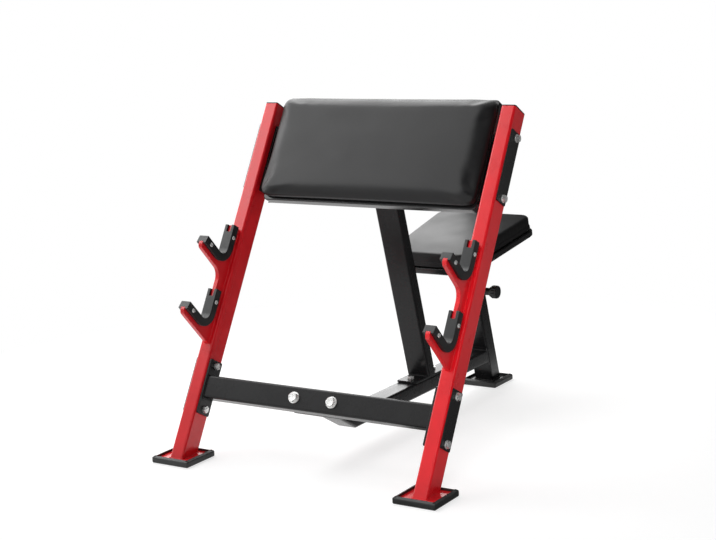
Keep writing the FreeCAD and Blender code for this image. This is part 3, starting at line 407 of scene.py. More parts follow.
def modelled():
    bpy.ops.object.mode_set(mode="OBJECT")


def unpicked(piece):
    """Leaves edit mode with nothing of the piece selected."""
    modelled()
    for parts in (piece.data.vertices, piece.data.edges, piece.data.polygons):
        for part in parts:
            part.select = False


def pick_faces(piece, wanted):
    """Selects, in edit mode, the faces whose middle and normal are wanted."""
    unpicked(piece)
    for face in piece.data.polygons:
        face.select = wanted(face.center, face.normal)
    bpy.ops.object.mode_set(mode="EDIT")
    bpy.ops.mesh.select_mode(type="FACE")


def pick_edges(piece, wanted):
    """Selects, in edit mode, the edges whose two ends are wanted."""
    unpicked(piece)
    points = [vertex.co for vertex in piece.data.vertices]
    for edge in piece.data.edges:
        edge.select = wanted(*[points[index] for index in edge.vertices])
    bpy.ops.object.mode_set(mode="EDIT")
    bpy.ops.mesh.select_mode(type="EDGE")


def apply(piece, kind, name="Step", **settings):
    modifier = piece.modifiers.new(name, kind)
    for key, value in settings.items():
        setattr(modifier, key, value)
    choose(piece)
    bpy.ops.object.modifier_apply(modifier=modifier.name)


def settle(piece):
    """Puts a piece's place into its mesh."""
    choose(piece)
    bpy.ops.object.transform_apply(location=True, rotation=True, scale=True)


def copied(piece, name, matrix):
    twin = bpy.data.objects.new(name, piece.data.copy())
    bpy.context.scene.collection.objects.link(twin)
    twin.data.transform(matrix)
    return twin


def removed(*pieces):
    for piece in pieces:
        bpy.data.objects.remove(piece)


def cylinder(vertices, radius, depth, at=(0, 0, 0), turn=(0, 0, 0)):
    bpy.ops.mesh.primitive_cylinder_add(
        vertices=vertices, radius=radius, depth=depth, location=at, rotation=turn)
    made = bpy.context.object
    settle(made)
    return made


def cut(piece, name, tool, operation="DIFFERENCE"):
    """Cuts a piece by a tool that is used up."""
    apply(piece, "BOOLEAN", name, operation=operation, object=tool, solver="EXACT")
    removed(tool)


def joined(name, pieces):
    choose(*pieces)
    if len(pieces) > 1:
        bpy.ops.object.join()
    whole = bpy.context.view_layer.objects.active
    whole.name = name
    return whole


def smooth(piece, angle=35):
    choose(piece)
    bpy.ops.object.shade_smooth_by_angle(angle=radians(angle))


def finished(piece, slot, body, *nodes):
    piece.data.materials.clear()
    piece.data.materials.append(finish(slot))
    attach(piece, body)
    if nodes:
        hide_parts(*nodes)
    return piece


def copy_of(node, name, whole=True):
    """A welded copy of a node, with its flat faces made whole."""
    piece = copied(frame["nodes"][node], name, Matrix.Identity(4))
    editing(piece)
    bpy.ops.mesh.remove_doubles(threshold=0.000004)
    bpy.ops.mesh.customdata_custom_splitnormals_clear()
    if whole:
        bpy.ops.mesh.dissolve_limited(angle_limit=radians(0.6), use_dissolve_boundaries=False)
    modelled()
    return piece


def edge_rounded(piece, width, segments=2, angle=38):
    apply(piece, "BEVEL", "Edge", width=width, segments=segments, limit_method="ANGLE",
          angle_limit=radians(angle), use_clamp_overlap=False, miter_outer="MITER_ARC")
    smooth(piece)
    apply(piece, "WEIGHTED_NORMAL", "Flats", keep_sharp=True)


def coated(node, width, segments=2, slot=None, whole=True):
    """A node's copy with its cut edges rounded, in the node's own finish."""
    piece = copy_of(node, node + "_finished", whole)
    edge_rounded(piece, width, segments)
    return finished(piece, slot or SLOT_OF[node], BODY_OF[node], node)


def islands(node):
    """Lowest and highest corner of each solid in a node."""
    whole = copy_of(node, "islands")
    editing(whole)
    bpy.ops.mesh.separate(type="LOOSE")
    modelled()
    loose = list(bpy.context.selected_objects)
    found = []
    for piece in loose:
        points = [vertex.co for vertex in piece.data.vertices]
        low = Vector([min(point[axis] for point in points) for axis in range(3)])
        high = Vector([max(point[axis] for point in points) for axis in range(3)])
        found.append((low, high))
    removed(*loose)
    return found


def extent(node, direction, origin):
    """Lowest and highest place of a node along a direction."""
    places = [(vertex.co - origin).dot(direction) for vertex in frame["nodes"][node].data.vertices]
    return min(places), max(places)


def facing(direction, at):
    """Matrix that puts a piece modelled along Z at a point, looking in a direction."""
    return Matrix.Translation(at) @ Vector((0, 0, 1)).rotation_difference(direction).to_matrix().to_4x4()


class BenchOperator:
    bl_options = {"REGISTER"}


class CoatedNodes(BenchOperator):
    """Nodes that only have their edges rounded, by one of the sizes."""

    segments = 2
    whole = True

    def execute(self, context):
        for node in self.nodes:
            coated(node, getattr(sizes(), self.edge), self.segments, whole=self.whole)
        return {"FINISHED"}


# Steel

class BENCH_OT_red_steel(CoatedNodes, bpy.types.Operator):
    """Posts, hook plates and front base plates in gloss red coat"""

    bl_idname = "curl_bench.red_steel"
    bl_label = "Red steel"
    edge = "steel_edge"
    nodes = ("post_left", "post_right", "hook_plate_left", "hook_plate_right",
             "base_plate_front_left", "base_plate_front_right")


class BENCH_OT_black_steel(CoatedNodes, bpy.types.Operator):
    """Beam, flanges, straps, spine, mid post and sleeve in satin black coat"""

    bl_idname = "curl_bench.black_steel"
    bl_label = "Black steel"
    edge = "steel_edge"
    nodes = ("lower_beam", "lower_flange_left", "lower_flange_right", "lower_strap_left",
             "lower_strap_right", "upper_flange_left", "upper_flange_right", "upper_strap_left",
             "upper_strap_right", "pad_back_plate", "spine", "spine_front_flange", "spine_rear_flange",
             "mid_post", "mid_foot_plate", "mid_head_plate", "seat_sleeve", "base_plate_rear",
             "seat_tube", "seat_plate")


def on_post(x, up, back):
    """A point given along the leaning posts and through them, from their middle line on the floor."""
    return Vector((x, POST_FOOT, 0)) + POST_UP * up + POST_BACK * back


def weld_run(start, end, leg):
    """A row of overlapping weld ripples from start to end."""
    run = end - start
    pitch = leg * 0.62
    nothing_chosen()
    bpy.ops.mesh.primitive_uv_sphere_add(segments=8, ring_count=5, radius=leg)
    ripple = bpy.context.object
    ripple.scale = (0.66, 1, 1)
    settle(ripple)
    apply(ripple, "ARRAY", "Row", count=max(2, round(run.length / pitch)), use_relative_offset=False,
          use_constant_offset=True, constant_offset_displace=(pitch, 0, 0))
    turn = Vector((1, 0, 0)).rotation_difference(run).to_matrix().to_4x4()
    ripple.data.transform(Matrix.Translation(start) @ turn)
    return ripple


def weld(name, slot, runs, body="frame", fine=1.0):
    """Fillet welds from lists of points, each list one run of the torch."""
    leg = sizes().weld_leg * fine
    beads = [weld_run(start, end, leg) for points in runs for start, end in zip(points, points[1:])]
    bead = joined(name, beads)
    smooth(bead, 60)
    return finished(bead, slot, body)


def ring(middle, across, along):
    """Closed run round a tube's four corners, given its half sides as vectors."""
    steps = [across + along, along - across, -across - along, across - along]
    return [middle + step for step in steps + steps[:1]]


class BENCH_OT_red_welds(BenchOperator, bpy.types.Operator):
    """Red coated welds: posts to their base plates, hook plates to the posts"""

    bl_idname = "curl_bench.red_welds"
    bl_label = "Red welds"

    def execute(self, context):
        half_depth = 0.030
        hook_ends = (0.309, 0.625)
        for side, _ in SIDES:
            low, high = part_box("post_" + side)
            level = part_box("base_plate_front_" + side)[1].z
            middle = Vector(((low.x + high.x) / 2, POST_FOOT + level * tan(POST_LEAN), level))
            across = Vector(((high.x - low.x) / 2, 0, 0))
            base = ring(middle, across, Vector((0, half_depth / cos(POST_LEAN), 0)))
            low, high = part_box("hook_plate_" + side)
            seams = [[on_post(x, up, -half_depth) for up in hook_ends] for x in (low.x, high.x)]
            weld("base_weld_" + side, "red_coat", [base], fine=0.6)
            weld("hook_welds_" + side, "red_coat", seams)
        return {"FINISHED"}


class BENCH_OT_black_welds(BenchOperator, bpy.types.Operator):
    """Black coated welds of the beam, the pad's plate, the spine, the mid post and the seat"""

    bl_idname = "curl_bench.black_welds"
    bl_label = "Black welds"

    # Height of the lower beam along the posts, and the half sides of its tube and the spine's.
    beam_level = 0.1965
    half_tube = 0.030
    half_flat = 0.020

    def execute(self, context):
        self.beam()
        self.spine()
        self.seat()
        return {"FINISHED"}

    def beam(self):
        """Beam and pad plate on the flanges."""
        flange = 0.335
        plate_back = 0.025
        plate_ends = (0.752, 0.934)
        runs = []
        for _, sign in SIDES:
            end = flange * sign
            middle = on_post(end, self.beam_level, 0)
            runs.append(ring(middle, POST_UP * self.half_tube, POST_BACK * self.half_flat))
            runs.append([on_post(end, up, plate_back) for up in plate_ends])
        weld("beam_welds", "black_coat", runs)

    def spine(self):
        """Spine on its front flange, mid post on its two plates, spine on its rear flange."""
        wide = Vector((self.half_tube, 0, 0))
        flange_back = 0.026
        stub = ring(on_post(0, self.beam_level, flange_back), wide, POST_UP * self.half_flat)
        foot_y = 0.115
        foot_half = (0.029, 0.0187)
        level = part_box("mid_foot_plate")[1].z
        foot = [[Vector((x, foot_y + depth, level)) for x in (-foot_half[0], foot_half[0])]
                for depth in (-foot_half[1], foot_half[1])]
        head_up = 0.843
        head_back = 0.031
        head_half = (0.035, 0.0251)
        head = ring(on_post(0, head_up, head_back), Vector((head_half[0], 0, 0)), POST_UP * head_half[1])
        rear_edges = ((0.4419, 0.1115), (0.4537, 0.0715))
        tail = [[Vector((x, y, z)) for x in (-self.half_tube, self.half_tube)] for y, z in rear_edges]
        weld("spine_welds", "black_coat", [stub, head] + foot + tail)

    def seat(self):
        """Sleeve on its base plate, pin barrel on the sleeve, seat tube on the seat plate."""
        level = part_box("base_plate_rear")[1].z
        sleeve_y = 0.504
        sleeve_half = 0.025
        depth = Vector((0, sleeve_half / cos(SLEEVE_LEAN), 0))
        sleeve = ring(Vector((0, sleeve_y, level)), Vector((self.half_tube, 0, 0)), depth)
        low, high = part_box("pin_barrel")
        hub = (low + high) / 2
        barrel_radius = 0.011
        turns = [radians(360 * step / 16) for step in range(17)]
        barrel = [Vector((low.x, hub.y + barrel_radius * cos(turn), hub.z + barrel_radius * sin(turn)))
                  for turn in turns]
        weld("sleeve_welds", "black_coat", [sleeve, barrel])
        tube_top = Vector((0, 0.3816, 0.4242))
        tube_half = (0.025, 0.0202)
        tube = ring(tube_top, Vector((tube_half[0], 0, 0)), SEAT_BACK * tube_half[1])
        weld("seat_tube_weld", "black_coat", [tube], "seat")


# Feet, caps and liners

class BENCH_OT_feet(BenchOperator, bpy.types.Operator):
    """Three moulded rubber feet with a rim and crisp edges"""

    bl_idname = "curl_bench.feet"
    bl_label = "Rubber feet"

    def execute(self, context):
        low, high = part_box("foot_rear")
        nothing_chosen()
        bpy.ops.mesh.primitive_cube_add(size=1, location=(low + high) / 2)
        foot = bpy.context.object
        foot.scale = high - low
        settle(foot)
        editing(foot)
        pick_edges(foot, lambda a, b: abs(a.z - b.z) > 0.01)
        bpy.ops.mesh.bevel(offset=sizes().foot_corner, segments=6)
        pick_faces(foot, lambda at, normal: normal.z > 0.9)
        bpy.ops.mesh.inset(thickness=sizes().foot_rim)
        sunk = (0, 0, sizes().foot_floor - high.z)
        bpy.ops.mesh.extrude_region_move(TRANSFORM_OT_translate={"value": sunk})
        modelled()
        edge_rounded(foot, sizes().foot_edge, 2, 60)
        for node in ("foot_front_left", "foot_front_right"):
            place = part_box(node)[0] - low
            finished(copied(foot, node + "_finished", Matrix.Translation(place)), "rubber", "frame", node)
        foot.name = "foot_rear_finished"
        finished(foot, "rubber", "frame", "foot_rear")
        return {"FINISHED"}


class BENCH_OT_caps(CoatedNodes, bpy.types.Operator):
    """Post caps, the sleeve's bush and the seat tube's plug"""

    bl_idname = "curl_bench.caps"
    bl_label = "Plastic caps"
    edge = "cap_edge"
    segments = 3
    nodes = ("post_cap_left", "post_cap_right", "sleeve_bush", "seat_tube_plug")


class BENCH_OT_liners(CoatedNodes, bpy.types.Operator):
    """Moulded liners folded over the bar hooks"""

    bl_idname = "curl_bench.liners"
    bl_label = "Hook liners"
    edge = "liner_edge"
    whole = False
    nodes = ("hook_liner_lower_left", "hook_liner_lower_right",
             "hook_liner_upper_left", "hook_liner_upper_right")


# Fasteners

def hex_head(flats, height):
    """A hexagon head on Z = 0 with its corners turned off by a cone."""
    corner = flats / sqrt(3)
    crown = flats * 0.475
    dish_inset = flats * 0.30
    dish_depth = height * 0.06
    head = cylinder(6, corner, height, (0, 0, height / 2))
    bpy.ops.mesh.primitive_cone_add(vertices=60, radius1=crown + height / tan(radians(30)), radius2=crown,
                                    depth=height, location=(0, 0, height / 2))
    cone = bpy.context.object
    settle(cone)
    cut(head, "Chamfer", cone, "INTERSECT")
    editing(head)
    bpy.ops.mesh.remove_doubles(threshold=0.00001)
    pick_faces(head, lambda at, normal: normal.z > 0.99)
    bpy.ops.mesh.dissolve_faces()
    bpy.ops.mesh.inset(thickness=dish_inset)
    bpy.ops.transform.translate(value=(0, 0, -dish_depth))
    modelled()
    return head


def threaded_shank(width, length, turns, pitch):
    """A shank from Z = 0 down, with a few thread ridges at its free end."""
    bpy.ops.mesh.primitive_circle_add(vertices=24, radius=width / 2, fill_type="NGON", location=(0, 0, 0))
    shank = bpy.context.object
    editing(shank)
    root = 0.88
    bpy.ops.mesh.extrude_region_move(TRANSFORM_OT_translate={"value": (0, 0, -(length - turns * pitch))})
    for turn in range(turns):
        for factor in (root, 1 / root):
            bpy.ops.mesh.extrude_region_move(TRANSFORM_OT_translate={"value": (0, 0, -pitch / 2)})
            bpy.ops.transform.resize(value=(factor, factor, 1))
    bpy.ops.mesh.bevel(offset=width * 0.06, segments=1)
    bpy.ops.mesh.select_all(action="SELECT")
    bpy.ops.mesh.normals_make_consistent(inside=False)
    modelled()
    return shank


def hex_bolt(flats, height, width, length, pitch):
    return joined("bolt", [hex_head(flats, height), threaded_shank(width, length, turns=5, pitch=pitch)])


def set_in(fastener, places, node):
    """Copies of one fastener, each at its place and turned about its own axis, in place of a node."""
    copies = []
    for direction, at, degrees in places:
        turn = Matrix.Rotation(radians(degrees), 4, "Z")
        copies.append(copied(fastener, "fastener", facing(direction, at) @ turn))
    removed(fastener)
    whole = joined(node + "_finished", copies)
    smooth(whole, 30)
    finished(whole, "plated_steel", "frame", node)


class BENCH_OT_post_bolts(BenchOperator, bpy.types.Operator):
    """Hexagon bolts, washers and nuts that hold the beam and the pad's plate to the posts"""

    bl_idname = "curl_bench.post_bolts"
    bl_label = "Post bolts"

    def execute(self, context):
        rows = islands("post_bolts")
        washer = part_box("post_washers")[1].x
        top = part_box("post_bolts")[1].x
        low, high = rows[0]
        length = (high - low).x - (top - washer)
        bolt = hex_bolt(sizes().post_bolt_flats, top - washer, width=0.010, length=length, pitch=0.0015)
        turn = 17
        places = []
        for index, (low, high) in enumerate(rows):
            middle = (low + high) / 2
            side = 1 if middle.x > 0 else -1
            places.append((Vector((side, 0, 0)), Vector((washer * side, middle.y, middle.z)), turn * index))
        set_in(bolt, places, "post_bolts")
        for node in ("post_washers", "post_nuts"):
            coated(node, sizes().small_edge)
        return {"FINISHED"}


class BENCH_OT_spine_bolts(BenchOperator, bpy.types.Operator):
    """Two large bolts with washers on the front of the lower beam"""

    bl_idname = "curl_bench.spine_bolts"
    bl_label = "Spine bolts"

    def execute(self, context):
        washers = islands("spine_front_washers")
        bolt = hex_bolt(sizes().spine_bolt_flats, height=0.0085, width=0.014, length=0.060, pitch=0.002)
        half_washer = 0.001
        first_turn, next_turn = 12, 25
        places = []
        for index, (low, high) in enumerate(washers):
            face = (low + high) / 2 - POST_BACK * half_washer
            places.append((-POST_BACK, face, first_turn + next_turn * index))
        set_in(bolt, places, "spine_front_bolts")
        for node in ("spine_front_washers", "spine_front_nuts"):
            coated(node, sizes().small_edge)
        return {"FINISHED"}


class BENCH_OT_small_bolts(CoatedNodes, bpy.types.Operator):
    """Remaining bolts, nuts and screws under the plates and in the boards"""

    bl_idname = "curl_bench.small_bolts"
    bl_label = "Small bolts"
    edge = "small_edge"
    nodes = ("plate_bolts", "plate_nuts", "spine_rear_bolts", "spine_rear_nuts", "arm_pad_bolts",
             "seat_screws")


class BENCH_OT_hook_screws(BenchOperator, bpy.types.Operator):
    """Button head screws through the liners' cheeks"""

    bl_idname = "curl_bench.hook_screws"
    bl_label = "Hook screws"

    def execute(self, context):
        rows = islands("hook_screws")
        low, high = rows[0]
        half = (high - low).x / 2
        rise = 0.003
        rounding = rise * 0.72
        socket_radius = 0.0023
        rod_radius = 0.003
        turn = 23
        head = cylinder(32, sizes().screw_head / 2, rise, (0, 0, half - rise / 2))
        editing(head)
        pick_edges(head, lambda a, b: a.z > half - 0.0005 and b.z > half - 0.0005)
        bpy.ops.mesh.bevel(offset=rounding, segments=4)
        modelled()
        cut(head, "Socket", cylinder(6, socket_radius, 0.004, (0, 0, half + 0.0002)))
        far = copied(head, "head", Matrix.Rotation(pi, 4, "X"))
        rod = cylinder(16, rod_radius, 2 * half - rise)
        screw = joined("screw", [head, far, rod])
        places = []
        for index, (low, high) in enumerate(rows):
            places.append((Vector((1, 0, 0)), (low + high) / 2, turn * index))
        set_in(screw, places, "hook_screws")
        return {"FINISHED"}


# Pads

def swollen(piece, pinned, swell):
    """Blows a cushion's cover out by a cloth simulation, held where it is pinned."""
    piece.vertex_groups.clear()
    held = piece.vertex_groups.new(name="held")
    held.add([vertex.index for vertex in piece.data.vertices if pinned(vertex.co)], 1.0, "REPLACE")
    start = [vertex.co.copy() for vertex in piece.data.vertices]
    cloth = piece.modifiers.new("Cover", "CLOTH")
    vinyl = {"quality": 6, "mass": 0.25, "tension_stiffness": 8, "compression_stiffness": 3,
             "shear_stiffness": 2, "bending_stiffness": 30, "use_pressure": True,
             "uniform_pressure_force": 4, "vertex_group_mass": "held"}
    for setting, value in vinyl.items():
        setattr(cloth.settings, setting, value)
    cloth.settings.effector_weights.gravity = 0
    cloth.collision_settings.use_collision = False
    scene = bpy.context.scene
    for step in range(1, 21):
        scene.frame_set(step)
    choose(piece)
    bpy.ops.object.modifier_apply(modifier=cloth.name)
    scene.frame_set(1)
    for vertex, before in zip(piece.data.vertices, start):
        move = vertex.co - before
        if move.length > swell:
            vertex.co = before + move.normalized() * swell
    piece.vertex_groups.clear()


def within(value):
    return min(max(value, 0), 1)


def shoulder(share, fullness=2.3):
    """Height of a cushion's rounded shoulder, from 0 at its rim to 1 on its face."""
    return (1 - (1 - within(share)) ** fullness) ** (1 / fullness)


def inset(across, along, corner):
    """Distance inside a rim with rounded corners, from the places past its two straight edges."""
    past = (across + corner, along + corner)
    return corner - hypot(max(past[0], 0), max(past[1], 0)) - min(max(past), 0)


def crowned(piece, base, out, side, top, swell, share=lambda at: 1):
    """Lifts a cushion's face into a smooth pillow over its upright sides."""
    for vertex in piece.data.vertices:
        at = vertex.co - base
        height = at.dot(out)
        if height > side:
            vertex.co += out * (side + (top - side) * swell(at) - height) * share(at)


def pad(node, name, up, base, seam, drawn, shaped, firm):
    """A cushion: its solid drawn in, remeshed, shaped, swollen, subdivided, firmed and seamed."""
    held = 0.003
    seam_reach = 0.0026
    piece = copy_of(node, name)
    low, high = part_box(node)
    middle = (low + high) / 2

    def outward(point):
        return (point - middle) - up * (point - middle).dot(up)

    for vertex in piece.data.vertices:
        across = outward(vertex.co)
        vertex.co -= across.normalized() * min(drawn, across.length)
    apply(piece, "REMESH", "Cloth", mode="VOXEL", voxel_size=sizes().pad_voxel)
    shaped(piece)
    apply(piece, "SMOOTH", "Ease", factor=0.5, iterations=5)
    swollen(piece, lambda at: (at - base).dot(up) < held, sizes().pad_swell)
    apply(piece, "SMOOTH", "Taut", factor=0.5, iterations=16)
    apply(piece, "SUBSURF", "Cover", levels=1, render_levels=1)
    firm(piece)
    for vertex in piece.data.vertices:
        near = 1 - abs((vertex.co - base).dot(up) - seam) / seam_reach
        if near > 0:
            vertex.co -= outward(vertex.co).normalized() * sizes().seam_depth * near
    choose(piece)
    bpy.ops.object.shade_smooth()
    finished(piece, "vinyl", BODY_OF[node], node)
    return piece


def covered_board(node, back):
    """A board in vinyl, with bare plywood on its back."""
    board = coated(node, sizes().board_edge, 3, "vinyl")
    board.data.materials[0] = finish("taut_vinyl")
    board.data.materials.append(finish("board"))
    for face in board.data.polygons:
        face.material_index = 1 if face.normal.dot(back) > 0.98 else 0
    return board


def folded_hem(name, patches, out, body):
    """Strips of vinyl folded over a board's back, each given by its corners, and their staples."""
    staple_wire = (0.0012, 0.0008)
    staple_pitch = 0.048
    staple_lift = 0.0011
    thickness = 0.0009
    strips, staples = [], []
    nothing_chosen()
    bpy.ops.mesh.primitive_cube_add(size=1)
    staple = bpy.context.object
    staple.scale = (sizes().staple, *staple_wire)
    settle(staple)
    editing(staple)
    bpy.ops.mesh.bevel(offset=0.0002, segments=1)
    modelled()
    for corners in patches:
        nothing_chosen()
        bpy.ops.mesh.primitive_plane_add(size=1)
        strip = bpy.context.object
        for vertex, corner in zip(strip.data.vertices, (corners[0], corners[1], corners[3], corners[2])):
            vertex.co = corner
        editing(strip)
        bpy.ops.mesh.subdivide(number_cuts=5)
        bpy.ops.mesh.extrude_region_move(TRANSFORM_OT_translate={"value": out * thickness})
        bpy.ops.mesh.select_all(action="SELECT")
        bpy.ops.mesh.normals_make_consistent(inside=False)
        modelled()
        edge_rounded(strip, 0.0003, 1)
        strips.append(strip)
        start = (corners[0] + corners[3]) / 2
        end = (corners[1] + corners[2]) / 2
        if (corners[3] - corners[0]).length > (corners[1] - corners[0]).length:
            start = (corners[0] + corners[1]) / 2
            end = (corners[2] + corners[3]) / 2
        run = (end - start).normalized()
        turn = Matrix((run, out.cross(run), out)).transposed().to_4x4()
        count = max(2, round((end - start).length / staple_pitch))
        for index in range(count):
            place = start.lerp(end, (index + 0.5) / count) + out * staple_lift
            staples.append(copied(staple, "staple", Matrix.Translation(place) @ turn))
    removed(staple)
    finished(joined(name + "_hem", strips), "vinyl", body)
    finished(joined(name + "_staples", staples), "spring_steel", body)


class BENCH_OT_arm_pad(BenchOperator, bpy.types.Operator):
    """Arm pad: a swollen vinyl cushion on a covered board"""

    bl_idname = "curl_bench.arm_pad"
    bl_label = "Arm pad"

    # Heights of the cushion's upright side and of its crown.
    side = 0.012
    crown = 0.028
    firm_crown = 0.029

    # Widths of its rounded shoulder, their change up the pad, and the blend at the corners.
    end_reach = 0.032
    long_reach = 0.023
    reach_change = 0.009
    blend = 0.06

    def execute(self, context):
        lip = 0.001
        origin = Vector((0, POST_FOOT, 0))
        face, back = extent("arm_board", POST_BACK, origin)
        bottom, top = extent("arm_board", POST_UP, origin)
        bottom += lip
        top -= lip
        base = origin + POST_BACK * face
        self.cushion(base, base + POST_UP * (bottom + top) / 2, (top - bottom) / 2)
        covered_board("arm_board", POST_BACK)
        self.back_hem(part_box("arm_board")[1].x - lip, bottom, top, back)
        return {"FINISHED"}

    def cushion(self, base, middle, half_height):
        rim = 0.004
        half = (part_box("arm_cushion")[1].x - rim, half_height - rim)
        corner = sizes().arm_pad_corner

        def swell(at):
            up = at.dot(POST_UP)
            across, along = abs(at.x) - half[0], abs(up) - half[1]
            ends = within((across - along) / self.blend + 0.5)
            reach = self.end_reach * ends
            reach += (self.long_reach + self.reach_change * up / half[1]) * (1 - ends)
            return shoulder(inset(across, along, corner) / reach)

        def lower(at):
            """Share of the firm shape: most of it on the lower side's shoulder, none on the face."""
            start, fade, most = -0.03, 0.09, 0.8
            return min(max((start - at.dot(POST_UP)) / fade, 0), most) * (1 - swell(at) ** 4)

        def firm(piece):
            crowned(piece, middle, -POST_BACK, self.side, self.firm_crown, swell, lower)

        def shaped(piece):
            """Corners rounded, top end pulled up a little, face crowned."""
            pull = 0.003
            for vertex in piece.data.vertices:
                at = vertex.co - middle
                up = at.dot(POST_UP)
                past = (abs(at.x) - half[0] + corner, abs(up) - half[1] + corner)
                over = hypot(*past) - corner
                if min(past) > 0 and over > 0:
                    share = over / (over + corner)
                    vertex.co.x -= past[0] * share * (1 if at.x > 0 else -1)
                    vertex.co -= POST_UP * past[1] * share * (1 if up > 0 else -1)
                vertex.co += POST_UP * pull * max(up, 0) / half[1]
            crowned(piece, middle, -POST_BACK, self.side, self.crown, swell)

        pad("arm_cushion", "arm_pad", -POST_BACK, base, seam=0.0050, drawn=0.0025,
            shaped=shaped, firm=firm)

    def back_hem(self, side, bottom, top, back):
        hem = sizes().hem
        low_hem = 0.022
        plate_top = 0.940
        patches = [[(-side, bottom), (side, bottom), (side, bottom + low_hem), (-side, bottom + low_hem)],
                   [(-side, top - hem), (side, top - hem), (side, top), (-side, top)]]
        for _, sign in SIDES:
            edges = sorted((side * sign, (side - hem) * sign))
            patches.append([(edges[0], plate_top), (edges[1], plate_top),
                            (edges[1], top - hem), (edges[0], top - hem)])
        hems = [[on_post(x, up, back) for x, up in patch] for patch in patches]
        folded_hem("arm_pad", hems, POST_BACK, "frame")


class BENCH_OT_seat_pad(BenchOperator, bpy.types.Operator):
    """Seat pad: a swollen vinyl cushion on a covered board"""

    bl_idname = "curl_bench.seat_pad"
    bl_label = "Seat pad"

    # Heights of the cushion's upright side and of its crown.
    side = 0.020
    crown = 0.044

    # Widths of its rim's shoulder and of the slow rise to its middle, and the share of that rise.
    rim_reach = 0.012
    crown_reach = 0.10
    crown_share = 0.16

    # How far the foam stands in over the seam, per metre from the middle, and where that starts and is full.
    foam_step = 0.0025 / 0.16
    step_start = 0.011
    step_height = 0.005

    def execute(self, context):
        lip = 0.002
        under, face = extent("seat_board", SEAT_UP, Vector())
        front, rear = extent("seat_board", SEAT_BACK, Vector())
        front += lip
        rear -= lip
        corner, hem = sizes().seat_corner, sizes().hem
        wide, slim = sizes().seat_rear_half, sizes().seat_front_half
        base = SEAT_BACK * (front + rear) / 2 + SEAT_UP * face

        def half(along):
            return slim + (wide - slim) * (along - front) / (rear - front) - lip

        def swell(at):
            along = at.dot(SEAT_BACK)
            across = abs(at.x) - half(along + (front + rear) / 2)
            depth = inset(across, abs(along) - (rear - front) / 2, corner)
            rise = 1 - self.crown_share + self.crown_share * shoulder(depth / self.crown_reach)
            return shoulder(depth / self.rim_reach) * rise

        def shaped(piece):
            crowned(piece, base, SEAT_UP, self.side, self.crown, swell)

        def firm(piece):
            """The foam over the seam stands a little in from the band under it."""
            shaped(piece)
            for vertex in piece.data.vertices:
                at = vertex.co - base
                height = at.dot(SEAT_UP)
                across = at - SEAT_UP * height
                vertex.co -= across * self.foam_step * within((height - self.step_start) / self.step_height)

        pad("seat_cushion", "seat_pad", SEAT_UP, base, seam=0.0105, drawn=0.0005,
            shaped=shaped, firm=firm)
        covered_board("seat_board", -SEAT_UP)
        patches = []
        for edge, inner in ((front, front + hem), (rear, rear - hem)):
            x = half(edge) - corner
            patches.append([(-x, edge), (x, edge), (x, inner), (-x, inner)])
        for _, sign in SIDES:
            ends = (front + corner, rear - corner)
            outer = [(half(along) * sign, along) for along in ends]
            inner = [((half(along) - hem) * sign, along) for along in reversed(ends)]
            patches.append(outer + inner)
        hems = [[Vector((x, 0, 0)) + SEAT_BACK * along + SEAT_UP * under for x, along in patch]
                for patch in patches]
        folded_hem("seat_pad", hems, -SEAT_UP, "seat")
        return {"FINISHED"}


# Pull pin

class BENCH_OT_pull_pin(BenchOperator, bpy.types.Operator):
    """Pull pin: fluted knob, barrel, plunger and spring"""

    bl_idname = "curl_bench.pull_pin"
    bl_label = "Pull pin"

    def execute(self, context):
        self.knob()
        coated("pin_barrel", sizes().small_edge, slot="black_coat")
        for node in ("pin_plunger", "pin_spring"):
            node_object = frame["nodes"][node]
            node_object.data.materials.clear()
            node_object.data.materials.append(finish(SLOT_OF[node]))
        return {"FINISHED"}

    def knob(self):
        """Round knob with finger flutes in its rim and a slimmer neck."""
        low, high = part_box("pin_knob")
        hub = (low + high) / 2
        reach = (high.z - low.z) / 2
        knob = copy_of("pin_knob", "pin_knob_finished")
        flute_radius = 0.0032
        neck_radius = 0.0150
        neck_depth = 0.012
        sideways = (0, pi / 2, 0)
        cutter = cylinder(20, flute_radius, 0.1, turn=sideways)
        cutters = []
        rim = reach + flute_radius / 2
        for index in range(sizes().flutes):
            turn = 2 * pi * index / sizes().flutes
            place = Vector((hub.x, hub.y + rim * cos(turn), hub.z + rim * sin(turn)))
            cutters.append(copied(cutter, "cutter", Matrix.Translation(place)))
        removed(cutter)
        cut(knob, "Flutes", joined("flutes", cutters))
        neck_end = (low.x, hub.y, hub.z)
        neck = cylinder(64, 2 * neck_radius, neck_depth, neck_end, sideways)
        cut(neck, "Core", cylinder(64, neck_radius, 0.05, neck_end, sideways))
        cut(knob, "Neck", neck)
        edge_rounded(knob, 0.0005, 2)
        finished(knob, "knob_plastic", BODY_OF["pin_knob"], "pin_knob")


# Studio

def soft_light(name, place, aim, size, power):
    lamp = bpy.data.lights.new(name, "AREA")
    lamp.shape = "RECTANGLE"
    lamp.size, lamp.size_y = size
    lamp.energy = power
    light = bpy.data.objects.new(name, lamp)
    bpy.context.scene.collection.objects.link(light)
    light.location = place
    light.rotation_euler = (Vector(aim) - Vector(place)).to_track_quat("-Z", "Y").to_euler()
    return light


# Soft lights: name, place, aim, size.
SOFT_LIGHTS = [
    ("key", (-1.55, -0.85, 2.15), (-0.15, -0.1, 0.75), (1.6, 1.6)),
    ("fill", (1.0, -1.7, 1.15), (0.50, -0.3, 0.42), (0.9, 1.1)),
    ("side", (-2.6, 0.2, 1.25), (0, 0, 0.7), (2.4, 1.9)),
    ("back", (-3.2, 4.6, 2.4), (0, 0.1, 0.6), (5.0, 4.6)),
    ("top", (-1.25, 0.85, 2.75), (0, 0, 0.85), (1.8, 1.4)),
]

